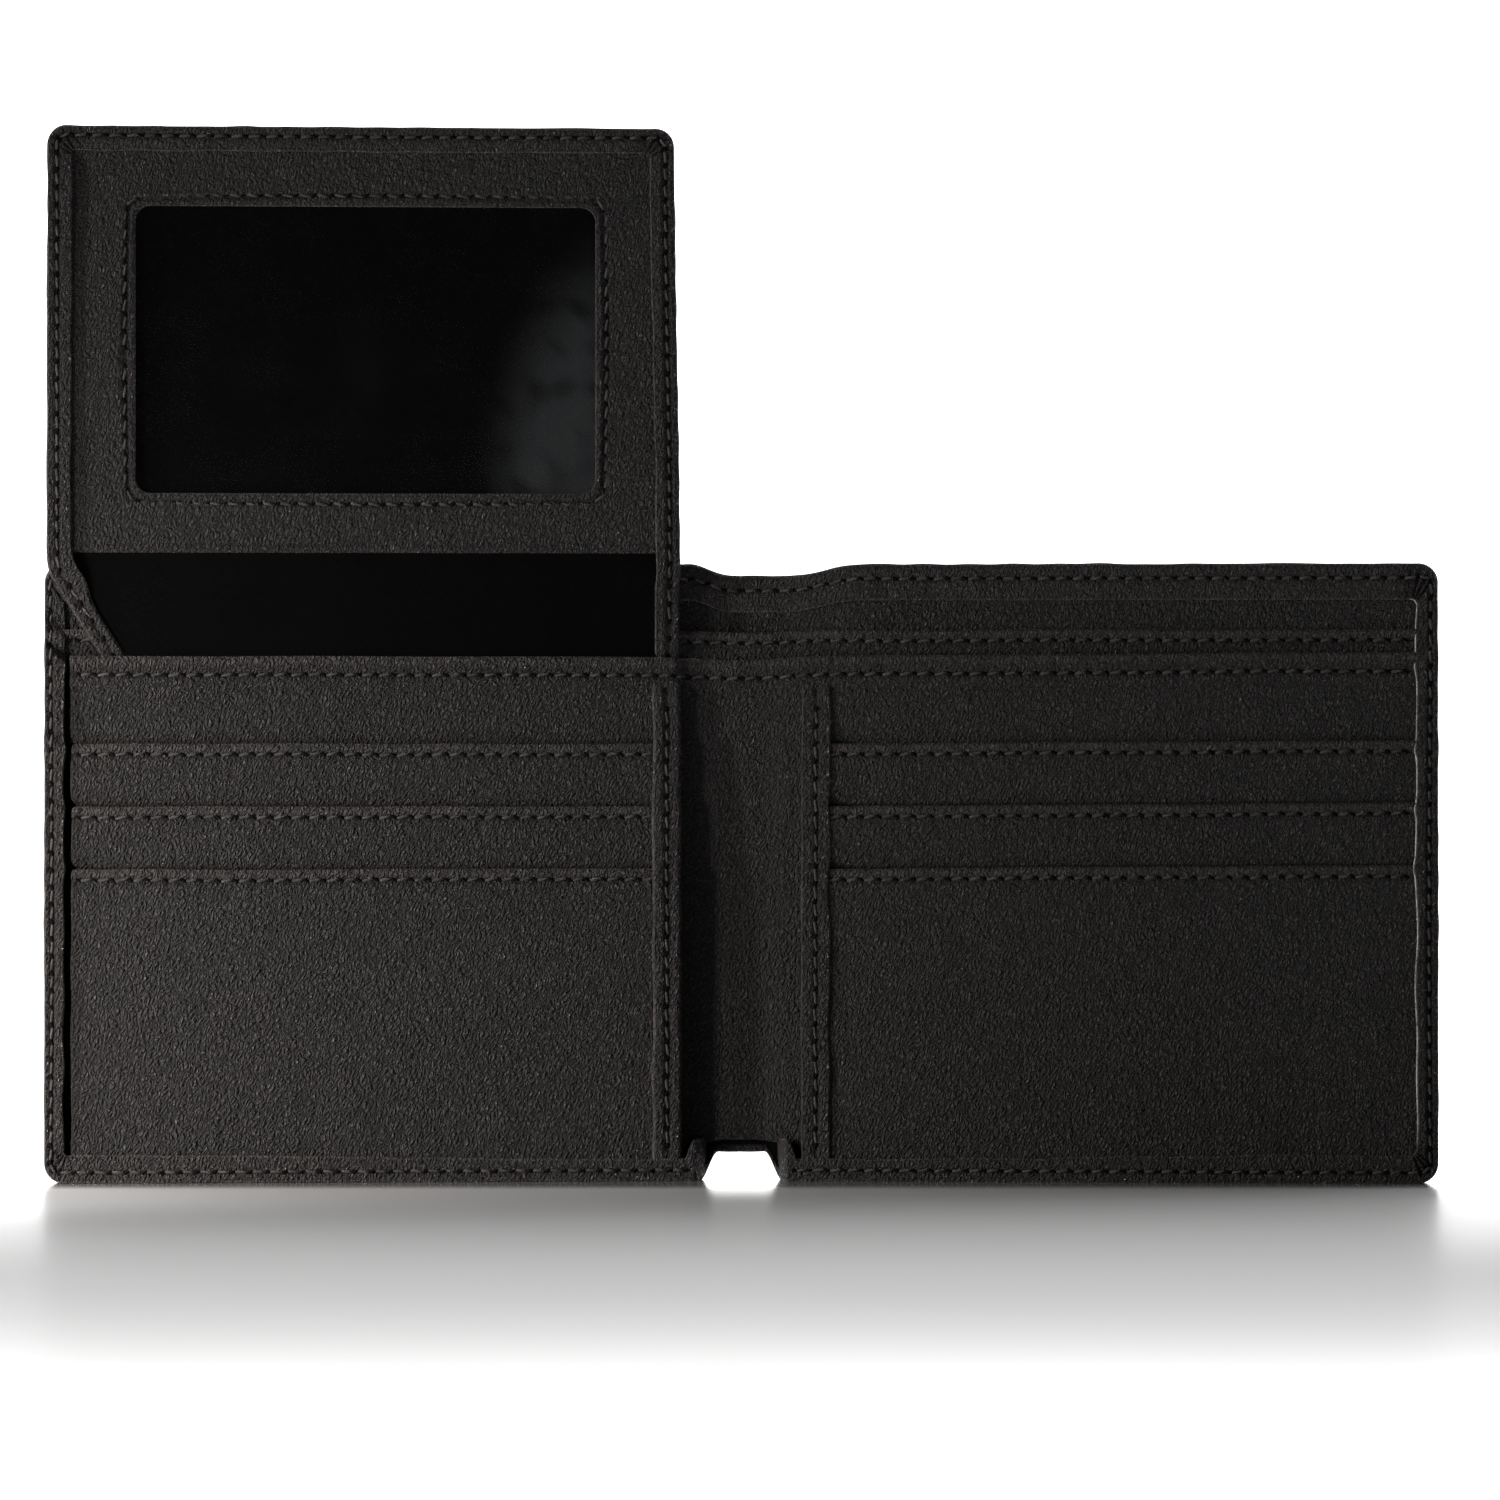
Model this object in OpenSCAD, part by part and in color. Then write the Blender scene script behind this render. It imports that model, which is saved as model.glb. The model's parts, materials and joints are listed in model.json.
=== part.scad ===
// Trifold wallet with a flip-up window flap, standing open on its bottom edge.
//
// Two leaves fold about a soft spine. A third leaf, the flap, turns on a soft web and
// folds down over the left one. Millimetres, +Z up, the open side facing -Y, and the
// origin at the middle of the base.
//
// A leaf is drawn in its own frame: u runs outwards from its fold line, z runs up, and
// a depth is counted forwards from the back face of the cover.

/* [Leaves] */
// Width of one leaf, from its inner edge to its outer edge
leaf_w = 101; // [96:1:110]
// Bare width between the inner edges of the two leaves
spine_w = 20; // [20:1:24]
// Height of the cover
cover_h = 98.8; // [96:0.1:104]
// Height of the front wall of the note compartments
front_h = 84; // [82:1:85]
// Height of the divider between the two note compartments
divider_h = 88.6; // [87:0.1:91]
// Angle that each leaf stands forwards of flat
open_angle = 4; // [0:1:8]
// Outer corner radius
corner_r = 3.2; // [2:0.2:4]

/* [Card slots] */
// Height of the mouth of the bottom pocket
pocket_top = 50; // [46:1:52]
// Rise from one slot mouth to the next
slot_rise = 10; // [9:0.5:10]
// Width of the binding along a leaf's inner edge
binding_w = 4.6; // [4:0.2:5]
// Width of the turned edge round the cover
border_w = 4; // [3.4:0.2:4.6]

/* [Flap] */
// Height of the flap's top edge above the base
flap_top = 168.5; // [160:0.5:170]
// Length of the web between its two fold lines
web_l = 7.4; // [7.3:0.1:7.6]
// Bottom edge of the window frame
frame_z = 100.5; // [99.5:0.5:102]
// Width of the window
window_w = 73.4; // [70:0.2:76]
// Height of the window
window_h = 45.8; // [44:0.2:48]
// Bottom edge of the window
window_z = 110; // [108:0.5:112]
// Corner radius of the window
window_r = 2.4; // [1:0.2:4]

/* [Hidden] */
$fn = 48;

leather = [0.21, 0.19, 0.185];
dark_leather = [0.15, 0.135, 0.13];
black_fabric = [0.05, 0.05, 0.05];
board_grey = [0.45, 0.42, 0.38];
clear_film = [0.6, 0.65, 0.7, 0.4];
thread_black = [0.08, 0.07, 0.07];

// Sheet thicknesses
cover_t = 1;
edge_t = 0.75;
strip_t = 0.65;
front_t = 0.7;
board_t = 0.4;
lining_t = 0.2;
trim_t = 0.3;
thread_t = 0.15;
thread_w = 0.4;

// Depths of the layers' back faces, with the room left for notes and for the flap's tab
note_room = 0.3;
tab_room = 0.25;
hem_room = 0.05;
tab_t = 0.4;
board_d = cover_t;
lining_d = board_d + board_t;
back_wall_d = lining_d + lining_t;
divider_d = back_wall_d + note_room;
divider_t = 2 * trim_t + lining_t;
tab_d = divider_d + divider_t + tab_room;
hem_d = tab_d + tab_t + hem_room;
front_lining_d = hem_d + lining_t;
front_d = front_lining_d + lining_t;
top_slot_d = front_d + front_t;
middle_slot_d = top_slot_d + strip_t;
pocket_d = middle_slot_d + strip_t;
stack_d = pocket_d + strip_t;

// Heights
middle_slot_top = pocket_top + slot_rise;
top_slot_top = middle_slot_top + slot_rise;
strip_tuck = 2;
hem_h = 4.6;
hem_seam = 2.5;
trim_h = 12;
facing_z = 80;
layer_z = 1;
seam_in = 1.9;
slot_seam = 1.7;
top_lining_z = 20;
middle_lining_z = 12;
tab_z = 62;

// Fold lines: they lie in the middle of the cover's thickness
axis_d = cover_t / 2;
fold_inset = 1;
fold_x = spine_w / 2 - fold_inset;
outer_u = leaf_w + fold_inset;
layer_u = outer_u - layer_z;
cover_gap = 0.1;
gusset_reach = 0.35;
gusset_x = fold_x + gusset_reach;
spine_lining_inset = axis_d + 0.3;
binding_low = border_w + hem_room;
front_reach = outer_u * sin(open_angle) + (stack_d + edge_t + thread_t - axis_d) * cos(open_angle);
axis_y = (front_reach - axis_d) / 2;

// What the turned edge and the binding lie on, from the base up: [to height, depth]
STEPS = [
    [pocket_top, stack_d], [middle_slot_top, pocket_d], [top_slot_top, middle_slot_d],
    [front_h, top_slot_d], [divider_h, divider_d + divider_t], [cover_h, back_wall_d]
];
riser_h = 0.5;

// The cover's top edge sinks and its bottom edge rises at the spine
top_dip = 1.9;
arch_h = 4.5;
dip_left = [-8.5, -1.5];
dip_right = [7, 20];
arch_left = [-6.6, -3.7];
arch_right = [3.7, 6.6];
curve_steps = 12;

// Flap
flap_u0 = fold_inset + 0.2;
flap_u1 = outer_u - 0.4;
flap_taper = 0.9;
flap_r = 3;
flap_shoulder_z = 97.5;
flap_slope = 0.64;
flap_d = tab_d;
flap_leather_t = 0.7;
flap_lining_d = flap_d + flap_leather_t + trim_t;
film_room = 0.2;
flap_film_d = flap_lining_d + lining_t + film_room;
flap_film_t = 0.25;
flap_frame_d = flap_film_d + flap_film_t;
flap_frame_t = 0.7;
flap_face_d = flap_frame_d + flap_frame_t;
flap_edge_t = 0.65;
flap_border_w = 4.2;
web_t = 0.6;
web_strip_t = 0.5;
web_room = 0.3;
web_low = front_h + web_t / 2 + web_strip_t + web_room;
web_high = web_low + web_l;
web_d = tab_d + web_t / 2;
strip_clear = 1;
flap_low = web_high + web_t / 2 + web_strip_t + film_room;
film_margin = 3.5;
window_seam = 1.8;

function ease(t) = let (c = min(1, max(0, t))) c * c * (3 - 2 * c);
function between(x, ends) = ease((x - ends[0]) / (ends[1] - ends[0]));
// Height of the cover's top and bottom edges at a place across the open wallet
function cover_top(x) = cover_h - top_dip * between(x, dip_left) * (1 - between(x, dip_right));
function cover_bottom(x) = arch_h * between(x, arch_left) * (1 - between(x, arch_right));
// Points on an arc about a centre, from one angle to another
function arc(c, r, from, to) =
    [for (i = [0:curve_steps]) let (a = from + (to - from) * i / curve_steps) c + r * [cos(a), sin(a)]];

// Puts a leaf's own frame in place: 1 for the right leaf, -1 for the left
module leaf(side) {
    mirror([side < 0 ? 1 : 0, 0, 0])
        translate([fold_x, axis_y, 0])
            rotate([0, 0, -open_angle])
                children();
}

// Puts the spine's frame in place: x across, and depths as on a leaf
module spine() {
    translate([0, axis_y, 0]) children();
}

// Gives a flat outline a thickness, from one depth to another
module sheet(from, to) {
    translate([0, axis_d - from, 0])
        rotate([90, 0, 0])
            linear_extrude(to - from)
                children();
}

module rect(u0, u1, z0, z1) {
    translate([u0, z0]) square([u1 - u0, z1 - z0]);
}

// A leaf's outline, with both outer corners round and the top edge sunk near the fold
module cover_outline(side, inset, u0) {
    r = corner_r - inset;
    u1 = outer_u - inset;
    top = cover_h - inset;
    difference() {
        union() {
            rect(u0, u1 - r, inset, top);
            rect(u1 - r - 1, u1, inset + r, top - r);
            for (z = [inset + r, top - r])
                translate([u1 - r, z]) circle(r);
        }
        polygon(concat(
            [[outer_u / 2, cover_h + 1], [-1, cover_h + 1]],
            [for (u = [-1:2:outer_u / 2]) [u, cover_top(side * (u + fold_x)) - inset]]
        ));
    }
}

// What shows between the turned edges of a leaf
module leaf_opening(side)
    intersection() {
        rect(-1, outer_u - border_w, border_w, cover_h);
        translate([0, -border_w]) cover_outline(side, 0, -1);
    }

// A layer inside the leaf, with its bottom outer corner round
module layer_outline(z0, z1, u0 = fold_inset) {
    r = corner_r - layer_z;
    if (z0 > corner_r)
        rect(u0, layer_u, z0, z1);
    else {
        rect(u0, layer_u - r, z0, z1);
        rect(layer_u - r - 1, layer_u, z0 + r, z1);
        translate([layer_u - r, z0 + r]) circle(r);
    }
}

// Covers the stepped stack of layers with an outline, and joins the steps with risers
module over_steps(steps, z0, thickness) {
    for (i = [0:len(steps) - 1]) {
        low = i == 0 ? z0 : steps[i - 1][0];
        sheet(steps[i][1], steps[i][1] + thickness)
            intersection() {
                children();
                rect(0, outer_u, low, steps[i][0]);
            }
        if (i > 0)
            sheet(steps[i][1], steps[i - 1][1] + thickness)
                intersection() {
                    children();
                    rect(0, outer_u, low, low + riser_h);
                }
    }
}

// ---- One leaf's pieces ----

// Outer leather: a back plate, walls round its edges, and the edge turned on to the front
module cover_leaf(side) color(leather) {
    sheet(0, cover_t) cover_outline(side, 0, axis_d + cover_gap);
    for (i = [0:len(STEPS) - 1])
        sheet(cover_t, STEPS[i][1] + edge_t)
            intersection() {
                difference() {
                    cover_outline(side, 0, fold_inset);
                    cover_outline(side, edge_t, -1);
                }
                rect(0, outer_u, i == 0 ? 0 : STEPS[i - 1][0], STEPS[i][0]);
            }
    over_steps(STEPS, 0, edge_t)
        difference() {
            cover_outline(side, 0, fold_inset);
            leaf_opening(side);
        }
}

module board_leaf(side) color(board_grey)
    sheet(board_d, board_d + board_t) cover_outline(side, layer_z, fold_inset);

// Lining of the note compartments
module lining_leaf(side) color(black_fabric)
    sheet(lining_d, lining_d + lining_t)
        intersection() {
            cover_outline(side, layer_z, fold_inset);
            rect(0, outer_u, 0, facing_z);
        }

// Thin leather that carries the lining on up to the cover's top edge
module facing_leaf(side) color(dark_leather)
    sheet(lining_d, lining_d + lining_t)
        intersection() {
            cover_outline(side, layer_z, fold_inset);
            rect(0, outer_u, facing_z, cover_h);
        }

// Fabric core of the divider, and the leather folded over its top
module divider_leaf() color(black_fabric)
    sheet(divider_d + trim_t, divider_d + trim_t + lining_t)
        layer_outline(layer_z, divider_h - trim_t);

module divider_trim(u0, u1) color(dark_leather) {
    sheet(divider_d, divider_d + divider_t) rect(u0, u1, divider_h - trim_t, divider_h);
    for (d = [divider_d, divider_d + trim_t + lining_t])
        sheet(d, d + trim_t) rect(u0, u1, divider_h - trim_h, divider_h);
}

module front_lining_leaf() color(black_fabric)
    sheet(front_lining_d, front_d) layer_outline(layer_z, front_h - hem_h - layer_z / 2);

// Front wall of the note compartments, with its top hem folded back behind it
module front_wall_leaf() color(leather) {
    sheet(front_d, front_d + front_t) layer_outline(layer_z, front_h);
    sheet(hem_d, front_d) layer_outline(front_h - hem_h, front_h);
}

module slot_strip(top, d) color(leather)
    sheet(d, d + strip_t) layer_outline(top - slot_rise - strip_tuck, top);

module slot_lining(top, d, z0) color(black_fabric)
    sheet(d, d + lining_t) layer_outline(z0, top - slot_rise - strip_tuck);

module pocket_face() color(leather)
    sheet(pocket_d, pocket_d + strip_t) layer_outline(layer_z, pocket_top);

// Strip that binds the slots' ends along the leaf's inner edge
module binding() color(leather)
    over_steps(
        [STEPS[0], STEPS[1], STEPS[2], [front_h - hem_h, top_slot_d]],
        binding_low, edge_t
    )
        rect(fold_inset, fold_inset + binding_w, binding_low, front_h - hem_h);

// ---- Threads: each seam's visible thread, lying on the leather ----

module seam(u0, u1, z0, z1, d) color(thread_black)
    sheet(d, d + thread_t) rect(u0, u1, z0, z1);

module border_thread(side) color(thread_black) {
    side_u = outer_u - seam_in;
    foot_u = fold_inset + seam_in;
    for (i = [0:len(STEPS) - 1]) {
        low = i == 0 ? corner_r : STEPS[i - 1][0] + riser_h + thread_t;
        high = i == len(STEPS) - 1 ? cover_h - corner_r : STEPS[i][0] - thread_t;
        seam(side_u - thread_w / 2, side_u + thread_w / 2, low, high, STEPS[i][1] + edge_t);
    }
    seam(foot_u, outer_u - corner_r, seam_in - thread_w / 2, seam_in + thread_w / 2, stack_d + edge_t);
    sheet(back_wall_d + edge_t, back_wall_d + edge_t + thread_t)
        intersection() {
            difference() {
                cover_outline(side, seam_in - thread_w / 2, foot_u);
                cover_outline(side, seam_in + thread_w / 2, -1);
            }
            rect(foot_u, outer_u - corner_r, cover_h / 2 + divider_h / 2, cover_h);
        }
}

module slot_thread() {
    u0 = fold_inset + binding_w + thread_w;
    u1 = outer_u - border_w - thread_w;
    for (s = [[pocket_top, pocket_d], [middle_slot_top, middle_slot_d], [top_slot_top, top_slot_d]])
        seam(u0, u1, s[0] - slot_seam - thread_w, s[0] - slot_seam, s[1] + strip_t);
    seam(fold_inset, u1, front_h - hem_seam - thread_w, front_h - hem_seam, top_slot_d);
}

module binding_thread() {
    u = fold_inset + binding_w / 2;
    seam(u, u + thread_w, border_w + 1, pocket_top - thread_t, stack_d + edge_t);
    for (i = [1:3])
        seam(
            u, u + thread_w, STEPS[i - 1][0] + riser_h + thread_t,
            i == 3 ? front_h - hem_h - thread_w : STEPS[i][0] - thread_t, STEPS[i][1] + edge_t
        );
}

module divider_thread()
    seam(
        fold_inset, outer_u - border_w - thread_w,
        divider_h - slot_seam - thread_w, divider_h - slot_seam, divider_d + divider_t
    );

// ---- The spine's pieces ----

// The cover's outline at the spine, inset at its sides, top and bottom
module spine_outline(side_inset, inset) {
    xs = [for (i = [0:2 * curve_steps]) (fold_x - side_inset) * (i / curve_steps - 1)];
    polygon(concat(
        [for (x = xs) [x, cover_bottom(x) + inset]],
        [for (x = xs) [-x, cover_top(-x) - inset]]
    ));
}

// Outer leather at the spine, with a round edge on each fold line
module cover_spine() color(leather) {
    sheet(0, cover_t) spine_outline(0, 0);
    for (x = [-fold_x, fold_x])
        translate([x, 0, cover_bottom(x)]) cylinder(h = cover_top(x) - cover_bottom(x), r = axis_d);
}

module lining_spine() color(black_fabric)
    sheet(cover_t, cover_t + lining_t)
        intersection() {
            spine_outline(spine_lining_inset, layer_z);
            rect(-fold_x, fold_x, 0, facing_z);
        }

module facing_spine() color(dark_leather)
    sheet(cover_t, cover_t + lining_t)
        intersection() {
            spine_outline(spine_lining_inset, layer_z);
            rect(-fold_x, fold_x, facing_z, cover_h);
        }

module divider_spine() color(black_fabric)
    sheet(divider_d + trim_t, divider_d + trim_t + lining_t)
        rect(-gusset_x, gusset_x, arch_h + layer_z, divider_h - trim_t);

module front_lining_spine() color(black_fabric)
    sheet(front_lining_d, front_d)
        rect(-gusset_x, gusset_x, arch_h + 2 * layer_z, front_h - hem_h - layer_z / 2);

module front_wall_spine() color(leather) {
    sheet(front_d, front_d + front_t) rect(-gusset_x, gusset_x, arch_h + 2 * layer_z, front_h);
    sheet(hem_d, front_d) rect(-gusset_x, gusset_x, front_h - hem_h, front_h);
}

module hem_thread_spine()
    seam(
        -gusset_x, gusset_x, front_h - hem_seam - thread_w, front_h - hem_seam, top_slot_d
    );

// ---- The flap's pieces, in the left leaf's frame ----

// Outline of the flap from a height up, inset all round; its lower outer corner is cut off
function flap_points(inset, z0) =
    let (
        lean = flap_taper / (flap_top - flap_shoulder_z),
        r = flap_r - min(inset, 2),
        cut = inset * norm([1, flap_slope]),
        low_u = flap_u1 - cut - flap_slope * max(0, flap_shoulder_z - z0),
        top = flap_top - inset,
        c0 = [flap_u0 + inset + flap_taper + r, top - r],
        c1 = [flap_u1 - inset - flap_taper - r, top - r]
    )
    concat(
        [[flap_u0 + inset, z0], [low_u, z0]],
        z0 < flap_shoulder_z ? [[flap_u1 - inset, flap_shoulder_z + (cut - inset) / flap_slope]] : [],
        arc(c1, r, lean, 90),
        arc(c0, r, 90, 180 - lean)
    );

module flap_cover() color(leather) {
    sheet(flap_d, flap_d + flap_leather_t) polygon(flap_points(0, flap_low));
    for (s = [[flap_low, frame_z, flap_lining_d + lining_t], [frame_z, flap_top, flap_face_d]]) {
        sheet(flap_d + flap_leather_t, s[2] + flap_edge_t)
            intersection() {
                difference() {
                    polygon(flap_points(0, flap_low));
                    polygon(flap_points(flap_leather_t, flap_low - 1));
                }
                rect(0, outer_u, s[0], s[1]);
            }
        sheet(s[2], s[2] + flap_edge_t)
            intersection() {
                difference() {
                    polygon(flap_points(0, flap_low));
                    polygon(flap_points(flap_border_w, flap_low - 1));
                }
                rect(0, outer_u, s[0], s[1]);
            }
    }
}

module flap_board() color(board_grey)
    sheet(flap_d + flap_leather_t, flap_lining_d) polygon(flap_points(layer_z, frame_z + layer_z));

module flap_lining() color(black_fabric)
    sheet(flap_lining_d, flap_lining_d + lining_t) polygon(flap_points(layer_z, flap_low));

// A window-shaped outline, grown all round
module window_outline(grow) {
    u = (flap_u0 + flap_u1) / 2;
    r = window_r + grow;
    w = window_w / 2 + grow;
    rect(u - w, u + w, window_z - grow + r, window_z + window_h + grow - r);
    rect(u - w + r, u + w - r, window_z - grow, window_z + window_h + grow);
    for (x = [u - w + r, u + w - r], z = [window_z - grow + r, window_z + window_h + grow - r])
        translate([x, z]) circle(r);
}

module flap_window() color(clear_film)
    sheet(flap_film_d, flap_film_d + flap_film_t) window_outline(film_margin);

module flap_frame() color(leather)
    sheet(flap_frame_d, flap_face_d)
        difference() {
            polygon(flap_points(layer_z, frame_z));
            window_outline(0);
        }

module flap_border_thread() color(thread_black)
    sheet(flap_face_d + flap_edge_t, flap_face_d + flap_edge_t + thread_t)
        difference() {
            polygon(flap_points(seam_in - thread_w / 2, frame_z + layer_z));
            polygon(flap_points(seam_in + thread_w / 2, frame_z));
        }

module flap_window_thread() color(thread_black)
    sheet(flap_face_d, flap_face_d + thread_t)
        difference() {
            window_outline(window_seam + thread_w);
            window_outline(window_seam);
        }

// Soft web between the leaf and the flap, with a round edge on each fold line
module flap_web() color(black_fabric) {
    sheet(web_d - web_t / 2, web_d + web_t / 2)
        intersection() {
            polygon(flap_points(0, web_low));
            rect(0, outer_u, web_low, web_high);
        }
    for (z = [web_low, web_high])
        translate([flap_u0, axis_d - web_d, z])
            rotate([0, 90, 0])
                cylinder(h = flap_u1 - flap_u0 - flap_slope * max(0, flap_shoulder_z - z), r = web_t / 2);
}

// Leather strips that carry the flap's edges down over the web
module web_strip_inner() color(leather)
    sheet(web_d + web_t / 2, web_d + web_t / 2 + web_strip_t)
        intersection() {
            polygon(flap_points(0, web_low));
            rect(0, flap_u0 + flap_border_w, web_low + strip_clear, web_high - strip_clear);
        }

module web_strip_outer() color(leather)
    sheet(web_d + web_t / 2, web_d + web_t / 2 + web_strip_t)
        intersection() {
            difference() {
                polygon(flap_points(0, web_low));
                polygon(flap_points(flap_border_w, web_low - 1));
            }
            rect(outer_u / 2, outer_u, web_low + strip_clear, web_high - strip_clear);
        }

// The web's lower part, inside the front note compartment
module flap_tab() color(black_fabric)
    sheet(tab_d, tab_d + tab_t)
        rect(
            flap_u0, flap_u1 - flap_slope * (flap_shoulder_z - front_h),
            tab_z, web_low - web_t / 2 - cover_gap
        );

spine() cover_spine();
spine() lining_spine();
spine() facing_spine();
spine() divider_spine();
spine() divider_trim(-gusset_x, gusset_x);  // divider_trim_spine
spine() front_lining_spine();
spine() front_wall_spine();
spine() hem_thread_spine();

leaf(-1) cover_leaf(-1);  // cover_left
leaf(-1) board_leaf(-1);  // board_left
leaf(-1) lining_leaf(-1);  // lining_left
leaf(-1) facing_leaf(-1);  // facing_left
leaf(-1) divider_leaf();  // divider_left
leaf(-1) divider_trim(fold_inset, layer_u);  // divider_trim_left
leaf(-1) divider_thread();  // divider_thread_left
leaf(-1) front_lining_leaf();  // front_lining_left
leaf(-1) front_wall_leaf();  // front_wall_left
leaf(-1) slot_lining(top_slot_top, top_slot_d, top_lining_z);  // top_slot_lining_left
leaf(-1) slot_strip(top_slot_top, top_slot_d);  // top_slot_strip_left
leaf(-1) slot_lining(middle_slot_top, middle_slot_d, middle_lining_z);  // middle_slot_lining_left
leaf(-1) slot_strip(middle_slot_top, middle_slot_d);  // middle_slot_strip_left
leaf(-1) pocket_face();  // pocket_face_left
leaf(-1) binding();  // binding_left
leaf(-1) border_thread(-1);  // border_thread_left
leaf(-1) slot_thread();  // slot_thread_left
leaf(-1) binding_thread();  // binding_thread_left
leaf(-1) flap_tab();

leaf(1) cover_leaf(1);  // cover_right
leaf(1) board_leaf(1);  // board_right
leaf(1) lining_leaf(1);  // lining_right
leaf(1) facing_leaf(1);  // facing_right
leaf(1) divider_leaf();  // divider_right
leaf(1) divider_trim(fold_inset, layer_u);  // divider_trim_right
leaf(1) divider_thread();  // divider_thread_right
leaf(1) front_lining_leaf();  // front_lining_right
leaf(1) front_wall_leaf();  // front_wall_right
leaf(1) slot_lining(top_slot_top, top_slot_d, top_lining_z);  // top_slot_lining_right
leaf(1) slot_strip(top_slot_top, top_slot_d);  // top_slot_strip_right
leaf(1) slot_lining(middle_slot_top, middle_slot_d, middle_lining_z);  // middle_slot_lining_right
leaf(1) slot_strip(middle_slot_top, middle_slot_d);  // middle_slot_strip_right
leaf(1) pocket_face();  // pocket_face_right
leaf(1) binding();  // binding_right
leaf(1) border_thread(1);  // border_thread_right
leaf(1) slot_thread();  // slot_thread_right
leaf(1) binding_thread();  // binding_thread_right

leaf(-1) flap_web();
leaf(-1) web_strip_inner();
leaf(-1) web_strip_outer();
leaf(-1) flap_cover();
leaf(-1) flap_board();
leaf(-1) flap_lining();
leaf(-1) flap_window();
leaf(-1) flap_frame();
leaf(-1) flap_border_thread();
leaf(-1) flap_window_thread();
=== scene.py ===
"""An open leather wallet with its window flap raised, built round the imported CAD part."""

import json
import math

import bpy
import numpy as np
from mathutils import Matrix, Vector

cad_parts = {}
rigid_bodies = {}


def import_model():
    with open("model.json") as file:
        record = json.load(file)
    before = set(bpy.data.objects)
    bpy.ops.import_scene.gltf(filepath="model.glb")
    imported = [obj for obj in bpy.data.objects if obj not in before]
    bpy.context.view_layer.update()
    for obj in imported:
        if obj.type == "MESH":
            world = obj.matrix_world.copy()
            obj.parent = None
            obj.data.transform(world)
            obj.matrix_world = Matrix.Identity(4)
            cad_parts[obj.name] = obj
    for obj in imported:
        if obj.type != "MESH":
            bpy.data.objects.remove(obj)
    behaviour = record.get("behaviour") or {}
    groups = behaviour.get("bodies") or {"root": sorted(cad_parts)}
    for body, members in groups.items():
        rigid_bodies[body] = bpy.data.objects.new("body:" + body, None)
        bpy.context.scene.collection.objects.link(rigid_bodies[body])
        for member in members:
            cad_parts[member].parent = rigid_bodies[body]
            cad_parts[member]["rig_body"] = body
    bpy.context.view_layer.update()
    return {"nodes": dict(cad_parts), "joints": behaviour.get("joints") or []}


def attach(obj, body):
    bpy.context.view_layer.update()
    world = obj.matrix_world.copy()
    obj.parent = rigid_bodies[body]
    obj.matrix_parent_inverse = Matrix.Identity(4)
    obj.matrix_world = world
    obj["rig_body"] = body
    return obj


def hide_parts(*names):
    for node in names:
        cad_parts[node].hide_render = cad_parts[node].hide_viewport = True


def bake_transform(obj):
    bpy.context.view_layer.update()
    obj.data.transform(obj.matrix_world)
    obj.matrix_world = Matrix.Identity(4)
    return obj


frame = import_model()

# ------------ sizes, in mm
MM = 0.001
JOINTS = {joint["name"]: joint for joint in frame["joints"]}
FOLD_X, AXIS_Y = (value / MM for value in JOINTS["right_fold"]["pos_m"][:2])
OPEN_ANGLE = math.radians(-JOINTS["right_fold"]["range_deg"][0])


def own_box(node):
    """A CAD node's lowest and highest corner as (outward, depth, height) in its own leaf, in mm."""
    found = frame["nodes"][node]
    points = np.array([vertex.co for vertex in found.data.vertices]) / MM
    on_spine = found["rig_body"] == "spine"
    side = 1 if found["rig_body"] == "right_leaf" else -1
    angle = 0 if on_spine else OPEN_ANGLE
    out = points[:, 0] if on_spine else side * points[:, 0] - FOLD_X
    back = points[:, 1] - AXIS_Y
    outward = out * math.cos(angle) - back * math.sin(angle)
    forward = -(out * math.sin(angle) + back * math.cos(angle))
    own = np.stack([outward + (0 if on_spine else FOLD_X), forward, points[:, 2]], 1)
    return own.min(0), own.max(0)


AXIS_D = -own_box("cover_right")[0][1]


def extent(node):
    """Outward, depth and height ranges of a CAD node: depth is counted from the cover's back."""
    low, high = own_box(node)
    shift = np.array([0, AXIS_D, 0])
    return list(zip(low + shift, high + shift))


SPARE = 0.6  # the leather's own thickness and swell beyond the CAD outline at the outer ends
OUT = extent("cover_right")[0][1] + SPARE
COVER_TOP = extent("cover_right")[2][1]
LIP_D = extent("cover_right")[1][1]
REAR_D = extent("facing_right")[1][1]
REAR_TOP = extent("facing_right")[2]
DIVIDER_D, DIVIDER_TOP = extent("divider_trim_right")[1][1], extent("divider_right")[2][1]
LINING_D = extent("front_lining_right")[1]
FRONT_D, FRONT_TOP = extent("front_wall_right")[1][1], extent("front_wall_right")[2][1]
HEM_Z = FRONT_TOP - 4.8  # lower edge of the front wall's hem
TOP_D, TOP_Z = extent("top_slot_strip_right")[1][1], extent("top_slot_strip_right")[2][1]
MIDDLE_D, MIDDLE_Z = extent("middle_slot_strip_right")[1][1], extent("middle_slot_strip_right")[2][1]
POCKET_D, POCKET_Z = extent("pocket_face_right")[1][1], extent("pocket_face_right")[2][1]
SLOT_TOPS = (TOP_Z, MIDDLE_Z, POCKET_Z)
STEPS = ((DIVIDER_TOP, DIVIDER_D), (FRONT_TOP, FRONT_D), (TOP_Z, TOP_D), (MIDDLE_Z, MIDDLE_D),
         (POCKET_Z, POCKET_D))
WEB_LOW, WEB_HIGH = (JOINTS[name]["pos_m"][2] / MM for name in ("web_fold", "flap_fold"))
WEB_D = sum(extent("flap_web")[1]) / 2
(FLAP_IN, FLAP_OUT), (FLAP_BACK, _), (_, FLAP_TOP) = extent("flap_cover")
FLAP_OUT += SPARE
FLAP_LIP = extent("flap_cover")[1][1]
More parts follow.
